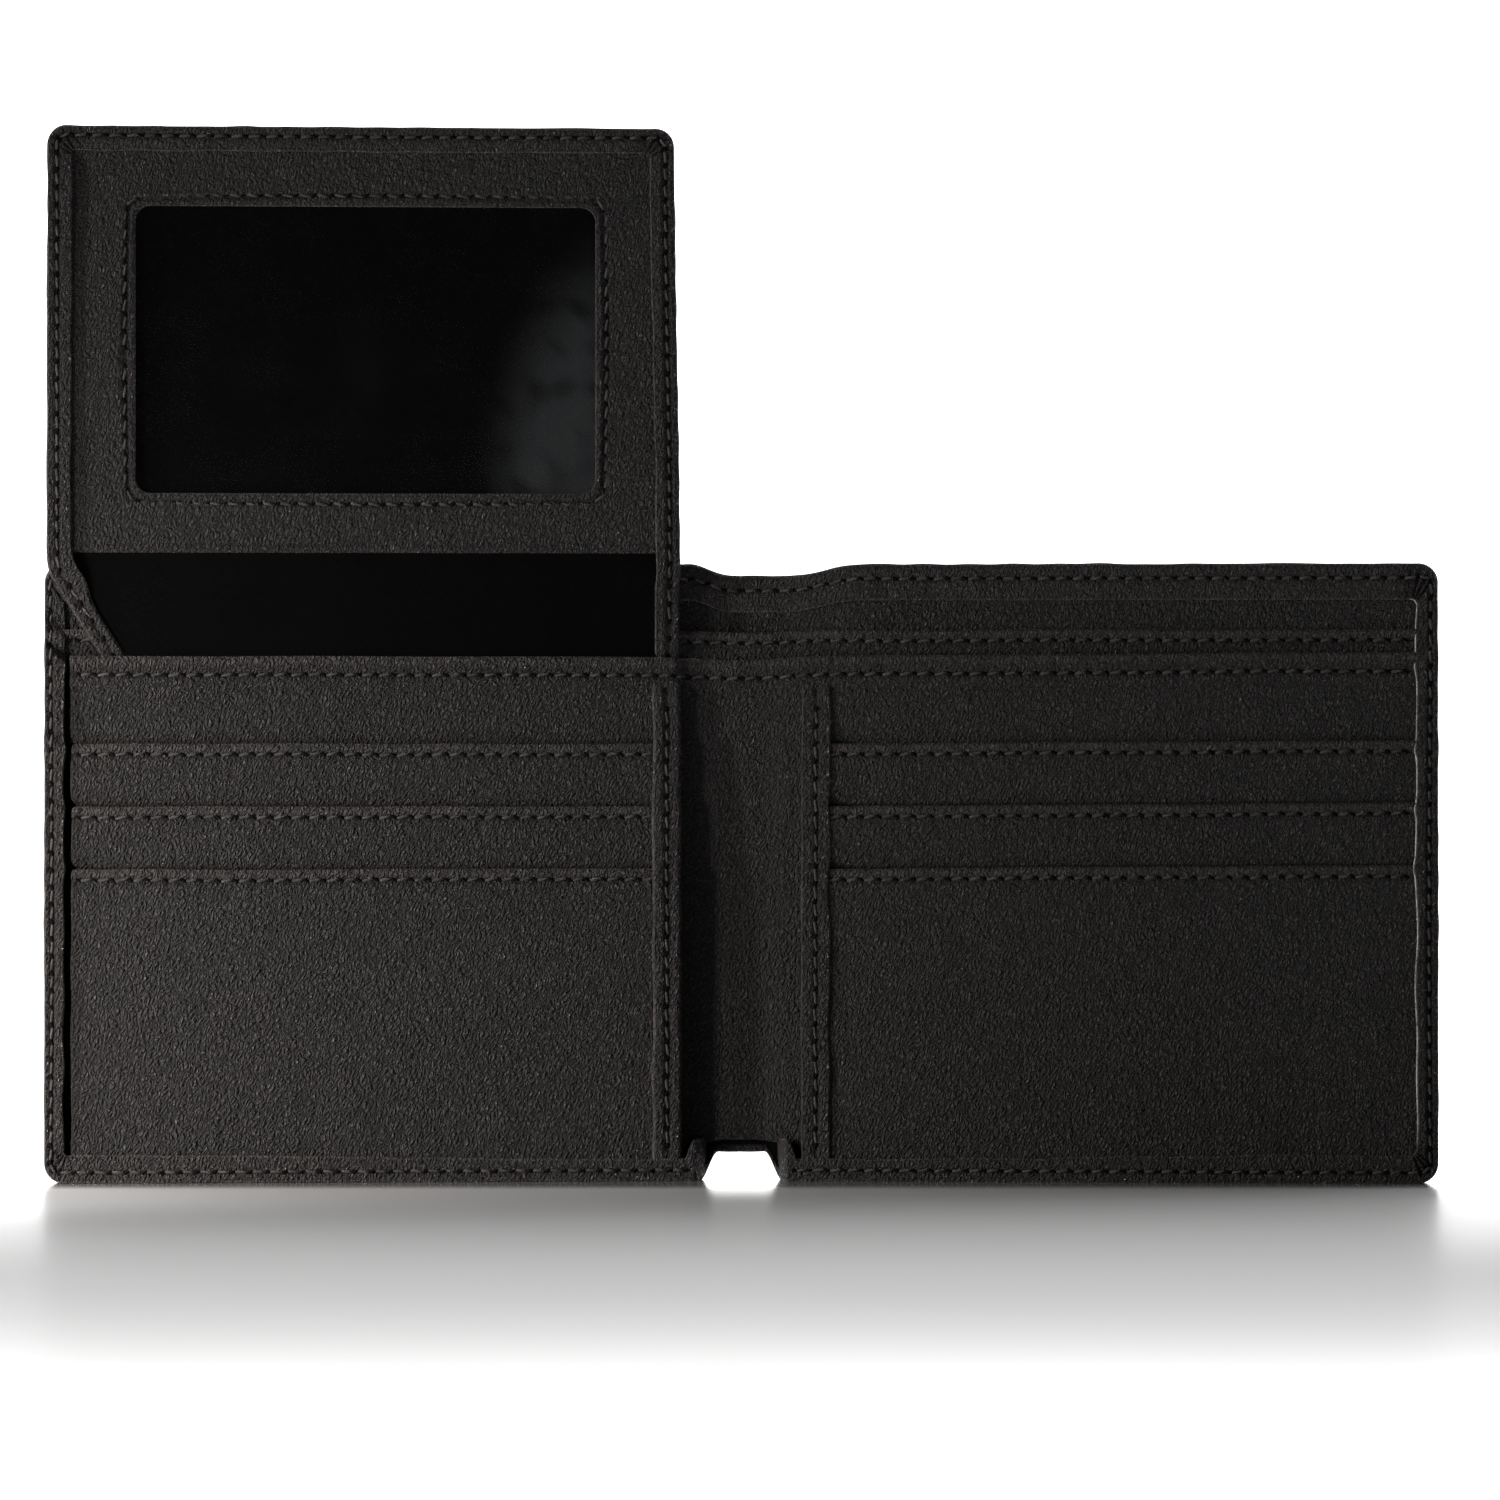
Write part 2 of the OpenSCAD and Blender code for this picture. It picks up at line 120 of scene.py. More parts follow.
FRAME_D, FRAME_LOW = extent("flap_frame")[1][1], extent("flap_frame")[2][0]
FILM_D = extent("flap_window")[1][1]
FLAP_LINING_D = extent("flap_lining")[1][1]

LIP_T = 0.75  # leather thickness of the turned edges
CORNER = 3.2  # outer corners of the cover
SEAM_IN = 1.75  # a seam's distance from its leather's edge
PITCH = 2.8  # length of one stitch with its gap
BINDING = 4.6  # width of the strip along the spine
SHOULDER = 98  # height where the flap's outer edge turns inward
SLOPE = 0.64  # how fast that edge runs inward below the shoulder
ARCH = (3.7, 6.6)  # the cover's raised lower edge at the spine: from fully raised to the floor
ARCH_UP = 4.5  # how high it is raised there
DIP = 1.9  # how far the cover's top edge sags behind the spine
COVER_BEND = 3.5  # half the width over which the cover bends at each fold
LAYER_BEND = 1.2  # the same for the layers in front of it
WINDOW = (73.4, 45.8)  # the window's width and height
WINDOW_R = 2.4  # and its corners' radius
LAYER_END = FOLD_X + 100.5  # where the layers end, under the cover's turned edge


# ------------ shapes
def smooth(value, low, high):
    """0 below low, 1 above high, and an even change between them."""
    share = np.clip((np.asarray(value, float) - low) / (high - low), 0, 1)
    return share * share * (3 - 2 * share)


def fade(value, low, high):
    """1 below low, 0 above high, and an even change between them."""
    return 1 - smooth(value, low, high)


def hump(value, centre, width):
    """1 at centre, falling away to 0 over about twice the width."""
    return np.exp(-(((np.asarray(value, float) - centre) / width) ** 2))


def ripple(a, b, size, seed):
    """Gentle unevenness between about -1 and 1, with waves about that long."""
    random = np.random.default_rng(seed)
    total = 0
    for _ in range(6):
        turn, start, stretch = random.random(3)
        wave = 2 * math.pi / (size * (0.6 + 0.9 * stretch))
        along = a * math.cos(2 * math.pi * turn) + b * math.sin(2 * math.pi * turn)
        total = total + np.sin(wave * along + 2 * math.pi * start)
    return total / 4


def waver(along, size, seed):
    """The same unevenness along one line."""
    return ripple(along, 0 * along, size, seed)


def stations(low, high, features=(), coarse=2, fine=0.3, reach=1.5):
    """Places from low to high, close together near the features."""
    place_at = np.linspace(low, high, 1600)
    gap = np.full_like(place_at, coarse)
    for feature in features:
        near = smooth(np.abs(place_at - feature), reach, 2.2 * reach)
        gap = np.minimum(gap, fine + (coarse - fine) * near)
    steps = (place_at[1] - place_at[0]) * 2 / (gap[1:] + gap[:-1])
    count = np.concatenate([[0], np.cumsum(steps)])
    number = max(2, int(math.ceil(count[-1])) + 1)
    return np.interp(np.linspace(0, count[-1], number), count, place_at)


def place(along, depth, height, flat_spine=True):
    """World points in metres. along is signed, from the spine's middle; depth from the cover's back.

    Without flat_spine, all of the piece lies in its leaf's plane, also what is over the spine."""
    along, depth, height = np.broadcast_arrays(
        np.asarray(along, float), np.asarray(depth, float), np.asarray(height, float)
    )
    side = np.where(along < 0, -1, 1)
    out = np.abs(along)
    turn = OPEN_ANGLE * (smooth(out, FOLD_X - 1.5, FOLD_X + 1.5) if flat_spine else 1)
    forward = AXIS_D - depth
    x = FOLD_X + (out - FOLD_X) * np.cos(turn) + forward * np.sin(turn)
    y = AXIS_Y - (out - FOLD_X) * np.sin(turn) + forward * np.cos(turn)
    return np.stack([side * x, y, height], -1) * MM


def grid_faces(rows, columns):
    """Quads of a grid of points."""
    first = (np.arange(rows - 1)[:, None] * columns + np.arange(columns - 1)[None, :]).ravel()
    return np.stack([first, first + 1, first + columns + 1, first + columns], 1)


def add_mesh(name, points, faces, material, wear_and_painted_light=None):
    """A smooth mesh object; wear_and_painted_light marks edge wear, painted highlights and painted shade in
    creases, as leather() says.
    """
    mesh = bpy.data.meshes.new(name)
    mesh.from_pydata(points.reshape(-1, 3).tolist(), [], faces.tolist())
    mesh.shade_smooth()
    mesh.materials.append(material)
    marks = mesh.attributes.new("wear_and_painted_light", "FLOAT", "POINT")
    if wear_and_painted_light is not None:
        values = np.broadcast_to(wear_and_painted_light, points.shape[:-1]).astype(np.float32).ravel()
        marks.data.foreach_set("value", np.ascontiguousarray(values))
    made = bpy.data.objects.new(name, mesh)
    bpy.context.scene.collection.objects.link(made)
    return made


def add_grid(name, along, depth, height, material, wear_and_painted_light=None, flat_spine=True):
    """A mesh from arrays of along, depth and height."""
    points = place(along, depth, height, flat_spine)
    return add_mesh(name, points, grid_faces(*points.shape[:2]), material, wear_and_painted_light)


def leaf_body(side):
    """The body of the leaf on that side."""
    return "left_leaf" if side < 0 else "right_leaf"


def label(side):
    """The end of a name on that side."""
    return "left" if side < 0 else "right"


def moves_with(body, piece, slot, *nodes):
    """The piece moves with that body and stands for those CAD nodes."""
    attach(piece, body)
    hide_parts(*nodes)


def over_spine(piece, side, slot, reach, *nodes):
    """The piece's transform is baked and the CAD nodes it stands for are hidden. reach is not used."""
    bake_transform(piece)
    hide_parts(*nodes)


# ------------ layers' depths
def stack_depth(height):
    """Depth of the layers under the turned edge at that height."""
    depth = np.full_like(np.asarray(height, float), REAR_D)
    before = REAR_D
    for top, front in STEPS:
        depth = depth + (front - before) * fade(height, top - 0.2, top + 1.5)
        before = front
    return depth


def rear_depth(along):
    """Front of the rear wall: it bellies forward beside the spine and lies back behind it."""
    out = np.abs(along)
    swell = np.where(np.asarray(along) > 0, 1.15, 0.35)
    return REAR_D + swell * hump(out, 19, 6.5) - 0.75 * fade(out, 6.5, 12)


def divider_depth(along):
    """Front of the divider, squeezed forward by the rear wall's belly."""
    return DIVIDER_D + 0.62 * (rear_depth(along) - REAR_D)


def front_depth(along):
    """Front of the front wall: a soft trough over the spine."""
    dip = smooth(along, -11.6, -8.2) * fade(along, 1.5, 11.2)
    return FRONT_D - 1.35 * dip


def cover_top(along):
    """Height of the cover's top edge, which sags behind the spine."""
    sag = smooth(along, -8.5, -1.5) * fade(along, 7, 20)
    droop = smooth(-np.asarray(along, float), 90, 104)
    return COVER_TOP - DIP * sag - 0.7 * droop


def cover_bottom(along):
    """Height of the cover's lower edge, which arches over the spine."""
    return ARCH_UP * fade(np.abs(along), ARCH[0], ARCH[1])


def rounded(low_edge, distance, radius):
    """How far a rounded corner of that radius cuts in, at a distance from the end."""
    share = np.clip(1 - distance / radius, 0, 1)
    return low_edge + radius * (1 - np.sqrt(1 - share * share))


# ------------ materials
def shader(name):
    """An empty node material and its tree."""
    material = bpy.data.materials.new(name)
    material.use_nodes = True
    material.node_tree.nodes.clear()
    return material, material.node_tree


def add_node(tree, kind, settings=None, **inputs):
    """A shader node with its settings and its inputs, which are values or other nodes' outputs."""
    made = tree.nodes.new("ShaderNode" + kind)
    for key, value in (settings or {}).items():
        setattr(made, key, value)
    for key, value in inputs.items():
        numbered = key[0] == "n" and key[1:].isdigit()
        socket = made.inputs[int(key[1:]) if numbered else key.replace("_", " ")]
        if isinstance(value, bpy.types.NodeSocket):
            tree.links.new(value, socket)
        else:
            socket.default_value = value
    return made


def in_mm(tree):
    """The piece's own coordinates, in millimetres."""
    coordinates = add_node(tree, "TexCoord").outputs["Object"]
    scaled = add_node(tree, "VectorMath", {"operation": "SCALE"}, n0=coordinates, Scale=1 / MM)
    return scaled.outputs["Vector"]


def noise(tree, where, scale, detail=3, roughness=0.55):
    """Soft noise, scale features to the millimetre."""
    made = add_node(tree, "TexNoise", Vector=where, Scale=scale, Detail=detail, Roughness=roughness)
    return made.outputs["Fac"]


def remap(tree, value, low, high, to_low=0, to_high=1):
    """value from low..high to another range, smoothly."""
    made = add_node(tree, "MapRange", {"interpolation_type": "SMOOTHSTEP"}, Value=value)
    for socket, amount in zip(("From Min", "From Max", "To Min", "To Max"), (low, high, to_low, to_high)):
        made.inputs[socket].default_value = amount
    return made.outputs["Result"]


def calculate(tree, operation, a, b, c=0):
    """A sum, product or the like of two or three values."""
    return add_node(tree, "Math", {"operation": operation}, n0=a, n1=b, n2=c).outputs["Value"]


def mix_colour(tree, share, first, second):
    """A colour between two colours."""
    made = tree.nodes.new("ShaderNodeMix")
    made.data_type = "RGBA"
    for index, value in ((0, share), (6, first), (7, second)):
        if isinstance(value, bpy.types.NodeSocket):
            tree.links.new(value, made.inputs[index])
        else:
            made.inputs[index].default_value = value
    return made.outputs[2]


def cells(tree, where, scale):
    """Distance to the nearest crease of a net of cells."""
    made = add_node(tree, "TexVoronoi", {"feature": "DISTANCE_TO_EDGE"}, Vector=where, Scale=scale)
    return made.outputs["Distance"]


def finish_shader(material, tree, height, reach, **surface):
    """Ends a material with one shader, raised by a height that spans reach mm."""
    if height is not None:
        raised = add_node(tree, "Bump", Height=height, Distance=reach * MM, Strength=1)
        surface["Normal"] = raised.outputs["Normal"]
    made = add_node(tree, "BsdfPrincipled", **surface)
    end = tree.nodes.new("ShaderNodeOutputMaterial")
    tree.links.new(made.outputs["BSDF"], end.inputs["Surface"])
    return material


def finish_mixed(material, tree, share, first, second):
    """Ends a material with two shaders, share being the second one's part."""
    both = add_node(tree, "MixShader", Fac=share, n1=first.outputs["BSDF"], n2=second.outputs["BSDF"])
    end = tree.nodes.new("ShaderNodeOutputMaterial")
    tree.links.new(both.outputs["Shader"], end.inputs["Surface"])
    return material


def leather(name, base, painted_crease_shade, rubbed_and_highlight):
    """Fine leather: plump cells between creases whose colour darkens as painted shade, hair-fine pores and
    lighter edges from wear and painted highlight.

    wear_and_painted_light is 0 on plain leather, up to 1 where edge wear and painted highlight lighten it, 2
    where a painted highlight turns a trimmed edge pale, and -1 where painted shade darkens creases."""
    material, tree = shader(name)
    where = in_mm(tree)
    drift = add_node(tree, "TexNoise", Vector=where, Scale=0.55, Detail=3)
    shifted = add_node(tree, "VectorMath", {"operation": "MULTIPLY_ADD"},
                       n0=drift.outputs["Color"], n1=(1.3, 1.3, 1.3), n2=where).outputs["Vector"]
    slanted = add_node(tree, "Mapping", {"vector_type": "TEXTURE"}, Vector=shifted,
                       Rotation=(0, 0.45, 0), Scale=(0.62, 1, 1.35)).outputs["Vector"]
    coarse = remap(tree, cells(tree, slanted, 0.95), 0, 0.3)
    fine = remap(tree, cells(tree, slanted, 1.9), 0, 0.42)
    patches = remap(tree, noise(tree, where, 0.1), 0.35, 0.65, 0.55, 1)
    pores = noise(tree, where, 3.2, 2)
    height = calculate(tree, "MULTIPLY_ADD", fine, 0.55, coarse)
    height = calculate(tree, "MULTIPLY", height, patches)
    height = calculate(tree, "MULTIPLY_ADD", pores, 0.45, height)
    wear_and_painted_light = add_node(tree, "Attribute", {"attribute_name": "wear_and_painted_light"}).outputs["Fac"]
    calm = remap(tree, wear_and_painted_light, 0, 0.6, 1, 0.45)
    height = calculate(tree, "MULTIPLY", height, calm)
    mottle = remap(tree, noise(tree, where, 0.035, 4), 0.3, 0.7)
    darker, lighter = (tuple(share * c for c in base) + (1,) for share in (0.85, 1.15))
    dyed = mix_colour(tree, mottle, darker, lighter)
    # Painted shade: the grain's creases darken towards the painted crease shade colour.
    deep = calculate(tree, "MULTIPLY", coarse, fine)
    creased = mix_colour(tree, remap(tree, deep, 0, 0.75, 0, 1), painted_crease_shade + (1,), dyed)
    # Edge wear plus painted highlight lighten the colour towards the third colour.
    uneven = remap(tree, noise(tree, where, 0.9), 0.35, 0.7, 0.2, 0.9)
    scuff_and_highlight = calculate(tree, "MULTIPLY", calculate(tree, "MINIMUM", wear_and_painted_light, 1), uneven)
    colour = mix_colour(tree, scuff_and_highlight, creased, rubbed_and_highlight + (1,))
    # Painted shade: marks below 0 darken to the crease shade colour and turn rough.
    shaded = remap(tree, wear_and_painted_light, -1, 0, 0.97, 0)
    colour = mix_colour(tree, shaded, colour, painted_crease_shade + (1,))
    # Painted highlight: marks above 1 turn the leather pale, in patches.
    highlight_patchiness = remap(tree, noise(tree, where, 0.35), 0.3, 0.6, 0.35, 1)
    pale_edge_highlight = calculate(tree, "MULTIPLY", remap(tree, wear_and_painted_light, 1, 1.9), highlight_patchiness)
    colour = mix_colour(tree, pale_edge_highlight, colour, (0.56, 0.53, 0.51, 1))
    sheen = remap(tree, noise(tree, where, 0.5), 0.3, 0.7, -0.04, 0.06)
    rough = calculate(tree, "ADD", remap(tree, deep, 0.05, 0.6, 0.85, 0.32), sheen)
    rough = calculate(tree, "MAXIMUM", rough, shaded)
    return finish_shader(material, tree, height, 0.95, Base_Color=colour, Roughness=rough,
                         Specular_IOR_Level=0.5)


def twill(name, dark, light):
    """Black twill lining: fine slanting ribs crossed by the warp."""
    pitch = 0.42
    material, tree = shader(name)
    where = in_mm(tree)
    parts = add_node(tree, "SeparateXYZ", Vector=where).outputs
    slant = calculate(tree, "ADD", parts["X"], parts["Z"])
    cross = calculate(tree, "SUBTRACT", parts["X"], parts["Z"])
    ribs = calculate(tree, "SINE", calculate(tree, "MULTIPLY", slant, 2 * math.pi / pitch), 0)
    warp = calculate(tree, "SINE", calculate(tree, "MULTIPLY", cross, 2 * math.pi / (0.5 * pitch)), 0)
    height = calculate(tree, "MULTIPLY_ADD", warp, 0.35, ribs)
    height = calculate(tree, "MULTIPLY_ADD", noise(tree, where, 1.6), 0.8, height)
    share = remap(tree, height, -1, 1.6)
    # Painted light: the attribute lightens the twill where light falls through the film.
    marked = add_node(tree, "Attribute", {"attribute_name": "wear_and_painted_light"}).outputs["Fac"]
    lifted = calculate(tree, "MULTIPLY_ADD", marked, 0.9, calculate(tree, "MULTIPLY", share, 0.06))
    colour = mix_colour(tree, calculate(tree, "MULTIPLY", lifted, calculate(tree, "ADD", share, 0.35)),
                        dark + (1,), light + (1,))
    return finish_shader(material, tree, height, 0.03, Base_Color=colour, Roughness=0.8,
                         Specular_IOR_Level=0.01)


def thread_material():
    """Waxed black sewing thread with its twist."""
    material, tree = shader("waxed_thread")
    where = in_mm(tree)
    parts = add_node(tree, "SeparateXYZ", Vector=where).outputs
    slant = calculate(tree, "ADD", parts["X"], calculate(tree, "MULTIPLY", parts["Z"], 1.7))
    strands = calculate(tree, "SINE", calculate(tree, "MULTIPLY", slant, 2 * math.pi / 0.34), 0)
    colour = mix_colour(tree, remap(tree, noise(tree, where, 0.8), 0.3, 0.7),
                        (0.03, 0.027, 0.025, 1), (0.085, 0.077, 0.072, 1))
    return finish_shader(material, tree, strands, 0.05, Base_Color=colour, Roughness=0.5,
                         Specular_IOR_Level=0.4)


def hole_shade_material():
    """Painted shade: a near-black colour for the shade inside a needle hole."""
    material, tree = shader("needle_hole_shade")
    depth = noise(tree, in_mm(tree), 2)
    colour = mix_colour(tree, depth, (0.0015, 0.0012, 0.0012, 1), (0.005, 0.004, 0.004, 1))
    return finish_shader(material, tree, None, 0, Base_Color=colour, Roughness=0.9, Specular_IOR_Level=0.05)


def board_material():
    """Grey-brown stiffening board."""
    material, tree = shader("fibre_board")
    where = in_mm(tree)
    fibres = noise(tree, where, 1.8, 5, 0.7)
    colour = mix_colour(tree, fibres, (0.2, 0.17, 0.13, 1), (0.34, 0.3, 0.24, 1))
    return finish_shader(material, tree, fibres, 0.05, Base_Color=colour, Roughness=0.85)


def film_material():
    """Clear glossy film with a faint haze and slight waves."""
    material, tree = shader("clear_film")
    where = in_mm(tree)
    waves = noise(tree, where, 0.05, 2)
    raised = add_node(tree, "Bump", Height=waves, Distance=0.5 * MM, Strength=0.6)
    edge = add_node(tree, "Fresnel", IOR=1.28, Normal=raised.outputs["Normal"])
    haze = remap(tree, noise(tree, where, 0.11, 4), 0.3, 0.8, 0.1, 0.24)
    gloss = add_node(tree, "BsdfGlossy", Color=(0.9, 0.93, 0.95, 1), Roughness=haze,
                     Normal=raised.outputs["Normal"])
    clear = add_node(tree, "BsdfTransparent", Color=(0.86, 0.88, 0.89, 1))
    return finish_mixed(material, tree, edge.outputs["Fac"], clear, gloss)


# Colours: base dye, painted crease shade, and edge wear with painted highlight.
LEATHER = leather("dark_leather", (0.034, 0.0262, 0.0242), (0.0035, 0.0025, 0.0025), (0.085, 0.074, 0.07))
TWILL = twill("black_twill", (0.0008, 0.0008, 0.0009), (0.06, 0.06, 0.062))
THREAD = thread_material()
HOLE_SHADE = hole_shade_material()
BOARD = board_material()
FILM = film_material()


# ------------ stitches
def capsule(half_length, half_width, half_height, sink):
    """A long bead along the first axis whose ends dive by sink mm, as (points, faces)."""
    sides, rings = 6, 6
    around = np.linspace(0, 2 * math.pi, sides + 1)[:-1]
    points = []
    for share in np.linspace(-1, 1, rings):
        girth = math.sqrt(max(0, 1 - 0.85 * share**4))
        points.append(np.stack([np.full(sides, share * half_length), half_width * girth * np.cos(around),
                                half_height * girth * np.sin(around) - sink * share**4], 1))
    row, k = (grid.ravel() for grid in np.meshgrid(np.arange(rings - 1), np.arange(sides), indexing="ij"))
    after = (k + 1) % sides
    first, next_ring = row * sides, (row + 1) * sides
    faces = np.stack([first + k, first + after, next_ring + after, next_ring + k], 1)
    return np.concatenate(points), faces


STITCH = capsule(0.4 * PITCH, 0.24, 0.22, 0.3)
HOLE = capsule(0.52, 0.23, 0.12, 0)


def bead_row(shape, at, run, beside, up):
    """Copies of a bead at many places, each turned to its own axes."""
    points, faces = shape
    local = at[:, None, :]
    for axis, direction in enumerate((run, beside, up)):
        local = local + points[None, :, axis:axis + 1] * direction[:, None, :]
    shifts = np.arange(len(at))[:, None, None] * len(points)
    return local.reshape(-1, 3), (faces[None] + shifts).reshape(-1, 4)


def stitches(name, along, depth, height, lean=0.16, flat_spine=True, backward=False,
             measure=None):
    """A row of single stitches and their needle holes on a line given by arrays.

    measure is the distance along the seam at each point, whose whole pitches are the holes."""
    line = np.stack(np.broadcast_arrays(along, depth, height), 1).astype(float)
    measure = walk(line) if measure is None else np.abs(measure)
    if measure[-1] < measure[0]:
        measure, line = measure[::-1], line[::-1]
    first, last = math.ceil(measure[0] / PITCH), math.floor(measure[-1] / PITCH)

    def on_line(value):
        return np.stack([np.interp(value, measure, line[:, k]) for k in range(3)], 1)

    middle = (np.arange(first, last) + 0.5) * PITCH
    out = np.array([0, -1 if backward else 1, 0])

    def axes(value, turn):
        run = on_line(value + 0.3) - on_line(value - 0.3)
        run /= np.linalg.norm(run, axis=1)[:, None]
        beside = np.cross(run, out)
        beside /= np.linalg.norm(beside, axis=1)[:, None]
        up = np.cross(beside, run)
        cos, sin = math.cos(turn), math.sin(turn)
        return run * cos + beside * sin, beside * cos - run * sin, up

    run, beside, up = axes(middle, lean)
    random = np.random.default_rng(len(middle))
    length = 1 + 0.05 * random.standard_normal((len(middle), 1))
    points, faces = bead_row(STITCH, on_line(middle), run * length, beside, up)
    holes = (np.arange(first, last + 1)) * PITCH
    holes = np.clip(holes, measure[0] + 0.3, measure[-1] - 0.3)
    run, beside, up = axes(holes, -3.5 * lean)
    hole_points, hole_faces = bead_row(HOLE, on_line(holes), run, beside, up)
    local = np.concatenate([points, hole_points])
    made = add_mesh(name, place(local[:, 0], local[:, 1], local[:, 2], flat_spine),
                    np.concatenate([faces, hole_faces + len(points)]), THREAD)
    # The hole beads are painted shade for the inside of each needle hole.
    made.data.materials.append(HOLE_SHADE)
    kinds = np.concatenate([np.zeros(len(faces)), np.ones(len(hole_faces))]).astype(np.int32)
    made.data.polygons.foreach_set("material_index", kinds)
    return made


def pucker(along, distance):
    """How a seam draws leather down: a groove with a dimple at each hole, and swollen sides."""
    groove = 0.28 * hump(distance, 0, 0.42)
    at_hole = (0.5 + 0.5 * np.cos(2 * math.pi * along / PITCH)) ** 2
    dimples = 0.2 * hump(distance, 0, 0.65) * at_hole
    swell = 0.1 * (hump(distance, 1.05, 0.6) + hump(distance, -1.05, 0.6))
    return swell - groove - dimples


def walk(line):
    """Distance along a line of points."""
    return np.concatenate([[0], np.cumsum(np.linalg.norm(np.diff(line, axis=0), axis=1))])


# ------------ turned edges
def turned_edge(outer, inner, back, front, walked, pleats=0, behind=True, seam=SEAM_IN, painted_edge_highlight=0):
    """Leather turned round an edge: from the back, round the outer edge, to the front lip's inner edge.

    outer and inner are (out, height) lines, back and front are depths along them, and walked is
    the distance along them. pleats is up to 1 where the leather is gathered, and painted_edge_highlight
    above 0 where a painted highlight turns the fold at the lip's inner edge pale. Returns the arrays
    (out, depth, height, wear_and_painted_light) and the seam's line."""
    width = np.linalg.norm(inner - outer, axis=1)[:, None]
    seam, gathered = (np.broadcast_to(value, len(outer))[:, None] for value in (seam, pleats))
    back, front, walked = back[:, None], front[:, None], walked[:, None]
    turn, tip = 0.5, 0.45
    folds = 0.42 * gathered
    quarter = np.linspace(0, math.pi / 2, 6)[None, :]
    parts = []
    if behind:
        far = np.linspace(1.25, 0, 5)[None, :-1] * (width - seam - 0.5) + seam + 0.5
        near = seam + np.array([[0.4, 0.2, 0, -0.2, -0.4]])
        for inward in (far, near, np.array([[0.9]])):
            parts.append((inward, back - pucker(walked, inward - seam), 0 * inward))
    parts.append((turn * (1 - np.sin(quarter)), back + turn * (1 - np.cos(quarter)), 0.35 * np.sin(quarter)))
    rise = np.linspace(0, 1, 5)[None, 1:-1]
    bulge = (0.12 * waver(walked, 9, 5) - 0.1) * np.sin(math.pi * rise)
    low, high = back + turn, front - turn
    parts.append((bulge, low + (high - low) * rise, 0 * rise + 0.1))
    parts.append((turn * (1 - np.cos(quarter)), high + turn * np.sin(quarter), 0.5 * np.sin(2 * quarter)))
    plateau = np.concatenate([0 * width + 0.8, seam + np.array([[-0.45, -0.2, 0, 0.2, 0.45]])], 1)
    rest = seam + 0.45 + (width - tip - seam - 0.45) * np.linspace(0, 1, 7)[None, 1:]
    for inward in (plateau, rest):
        uneven = 0.07 * ripple(walked, inward * 2, 7, 3)
        drawn = pucker(walked, inward - seam) + uneven - folds * smooth(inward, 0.2, 1.6)
        # Painted shade in the folds of the gathered pleats.
        painted_fold_shade = 0.75 * gathered**2 * smooth(inward, 0.1, 0.7)
        parts.append((inward, front + drawn, 0.12 - painted_fold_shade + 0 * inward))
    fold = np.linspace(0, math.radians(125), 7)[None, 1:]
    sunk = front + 0.07 * ripple(walked, width * 2, 7, 3) - folds
    # The fold is lighter from edge wear plus painted highlight, and pale where painted_edge_highlight is
    # set.
    rubbed_and_highlight = (0.9 + painted_edge_highlight) * np.sin(np.minimum(fold * 1.3, math.pi))
    parts.append((width - tip + tip * np.sin(fold), sunk - tip + tip * np.cos(fold), rubbed_and_highlight))
    parts.append((width - 0.35, front - 1.3, 0 * width))
    inward, depth, wear_and_painted_light = (np.concatenate([part[k] + 0 * width for part in parts], 1) for k in range(3))
    direction = (inner - outer) / width
    out = outer[:, :1] + direction[:, :1] * inward
    height = outer[:, 1:] + direction[:, 1:] * inward
    seam_at = outer + direction * seam
    return out, depth, height, wear_and_painted_light, (seam_at[:, 0], front[:, 0] - 0.12, seam_at[:, 1])


def gathers(line, corner, reach, number):
    """Pleats round a corner: 0 away from it, and number of folds near it."""
    away = walk(line)
    at = away[np.argmin(np.linalg.norm(line - np.array(corner), axis=1))]
    near = fade(np.abs(away - at), 0.55 * reach, reach)
    fold = 0.5 + 0.5 * np.cos(2 * math.pi * (away - at) * number / (2 * reach))
    return near * fold**2


def pair(out, height):
    """A line of (out, height) points."""
    return np.stack(np.broadcast_arrays(out, height), 1)


def corner_arc(out, height, radius, turns):
    """Points round a corner's centre, at those angles."""
    return pair(out + radius * np.cos(turns), height + radius * np.sin(turns))


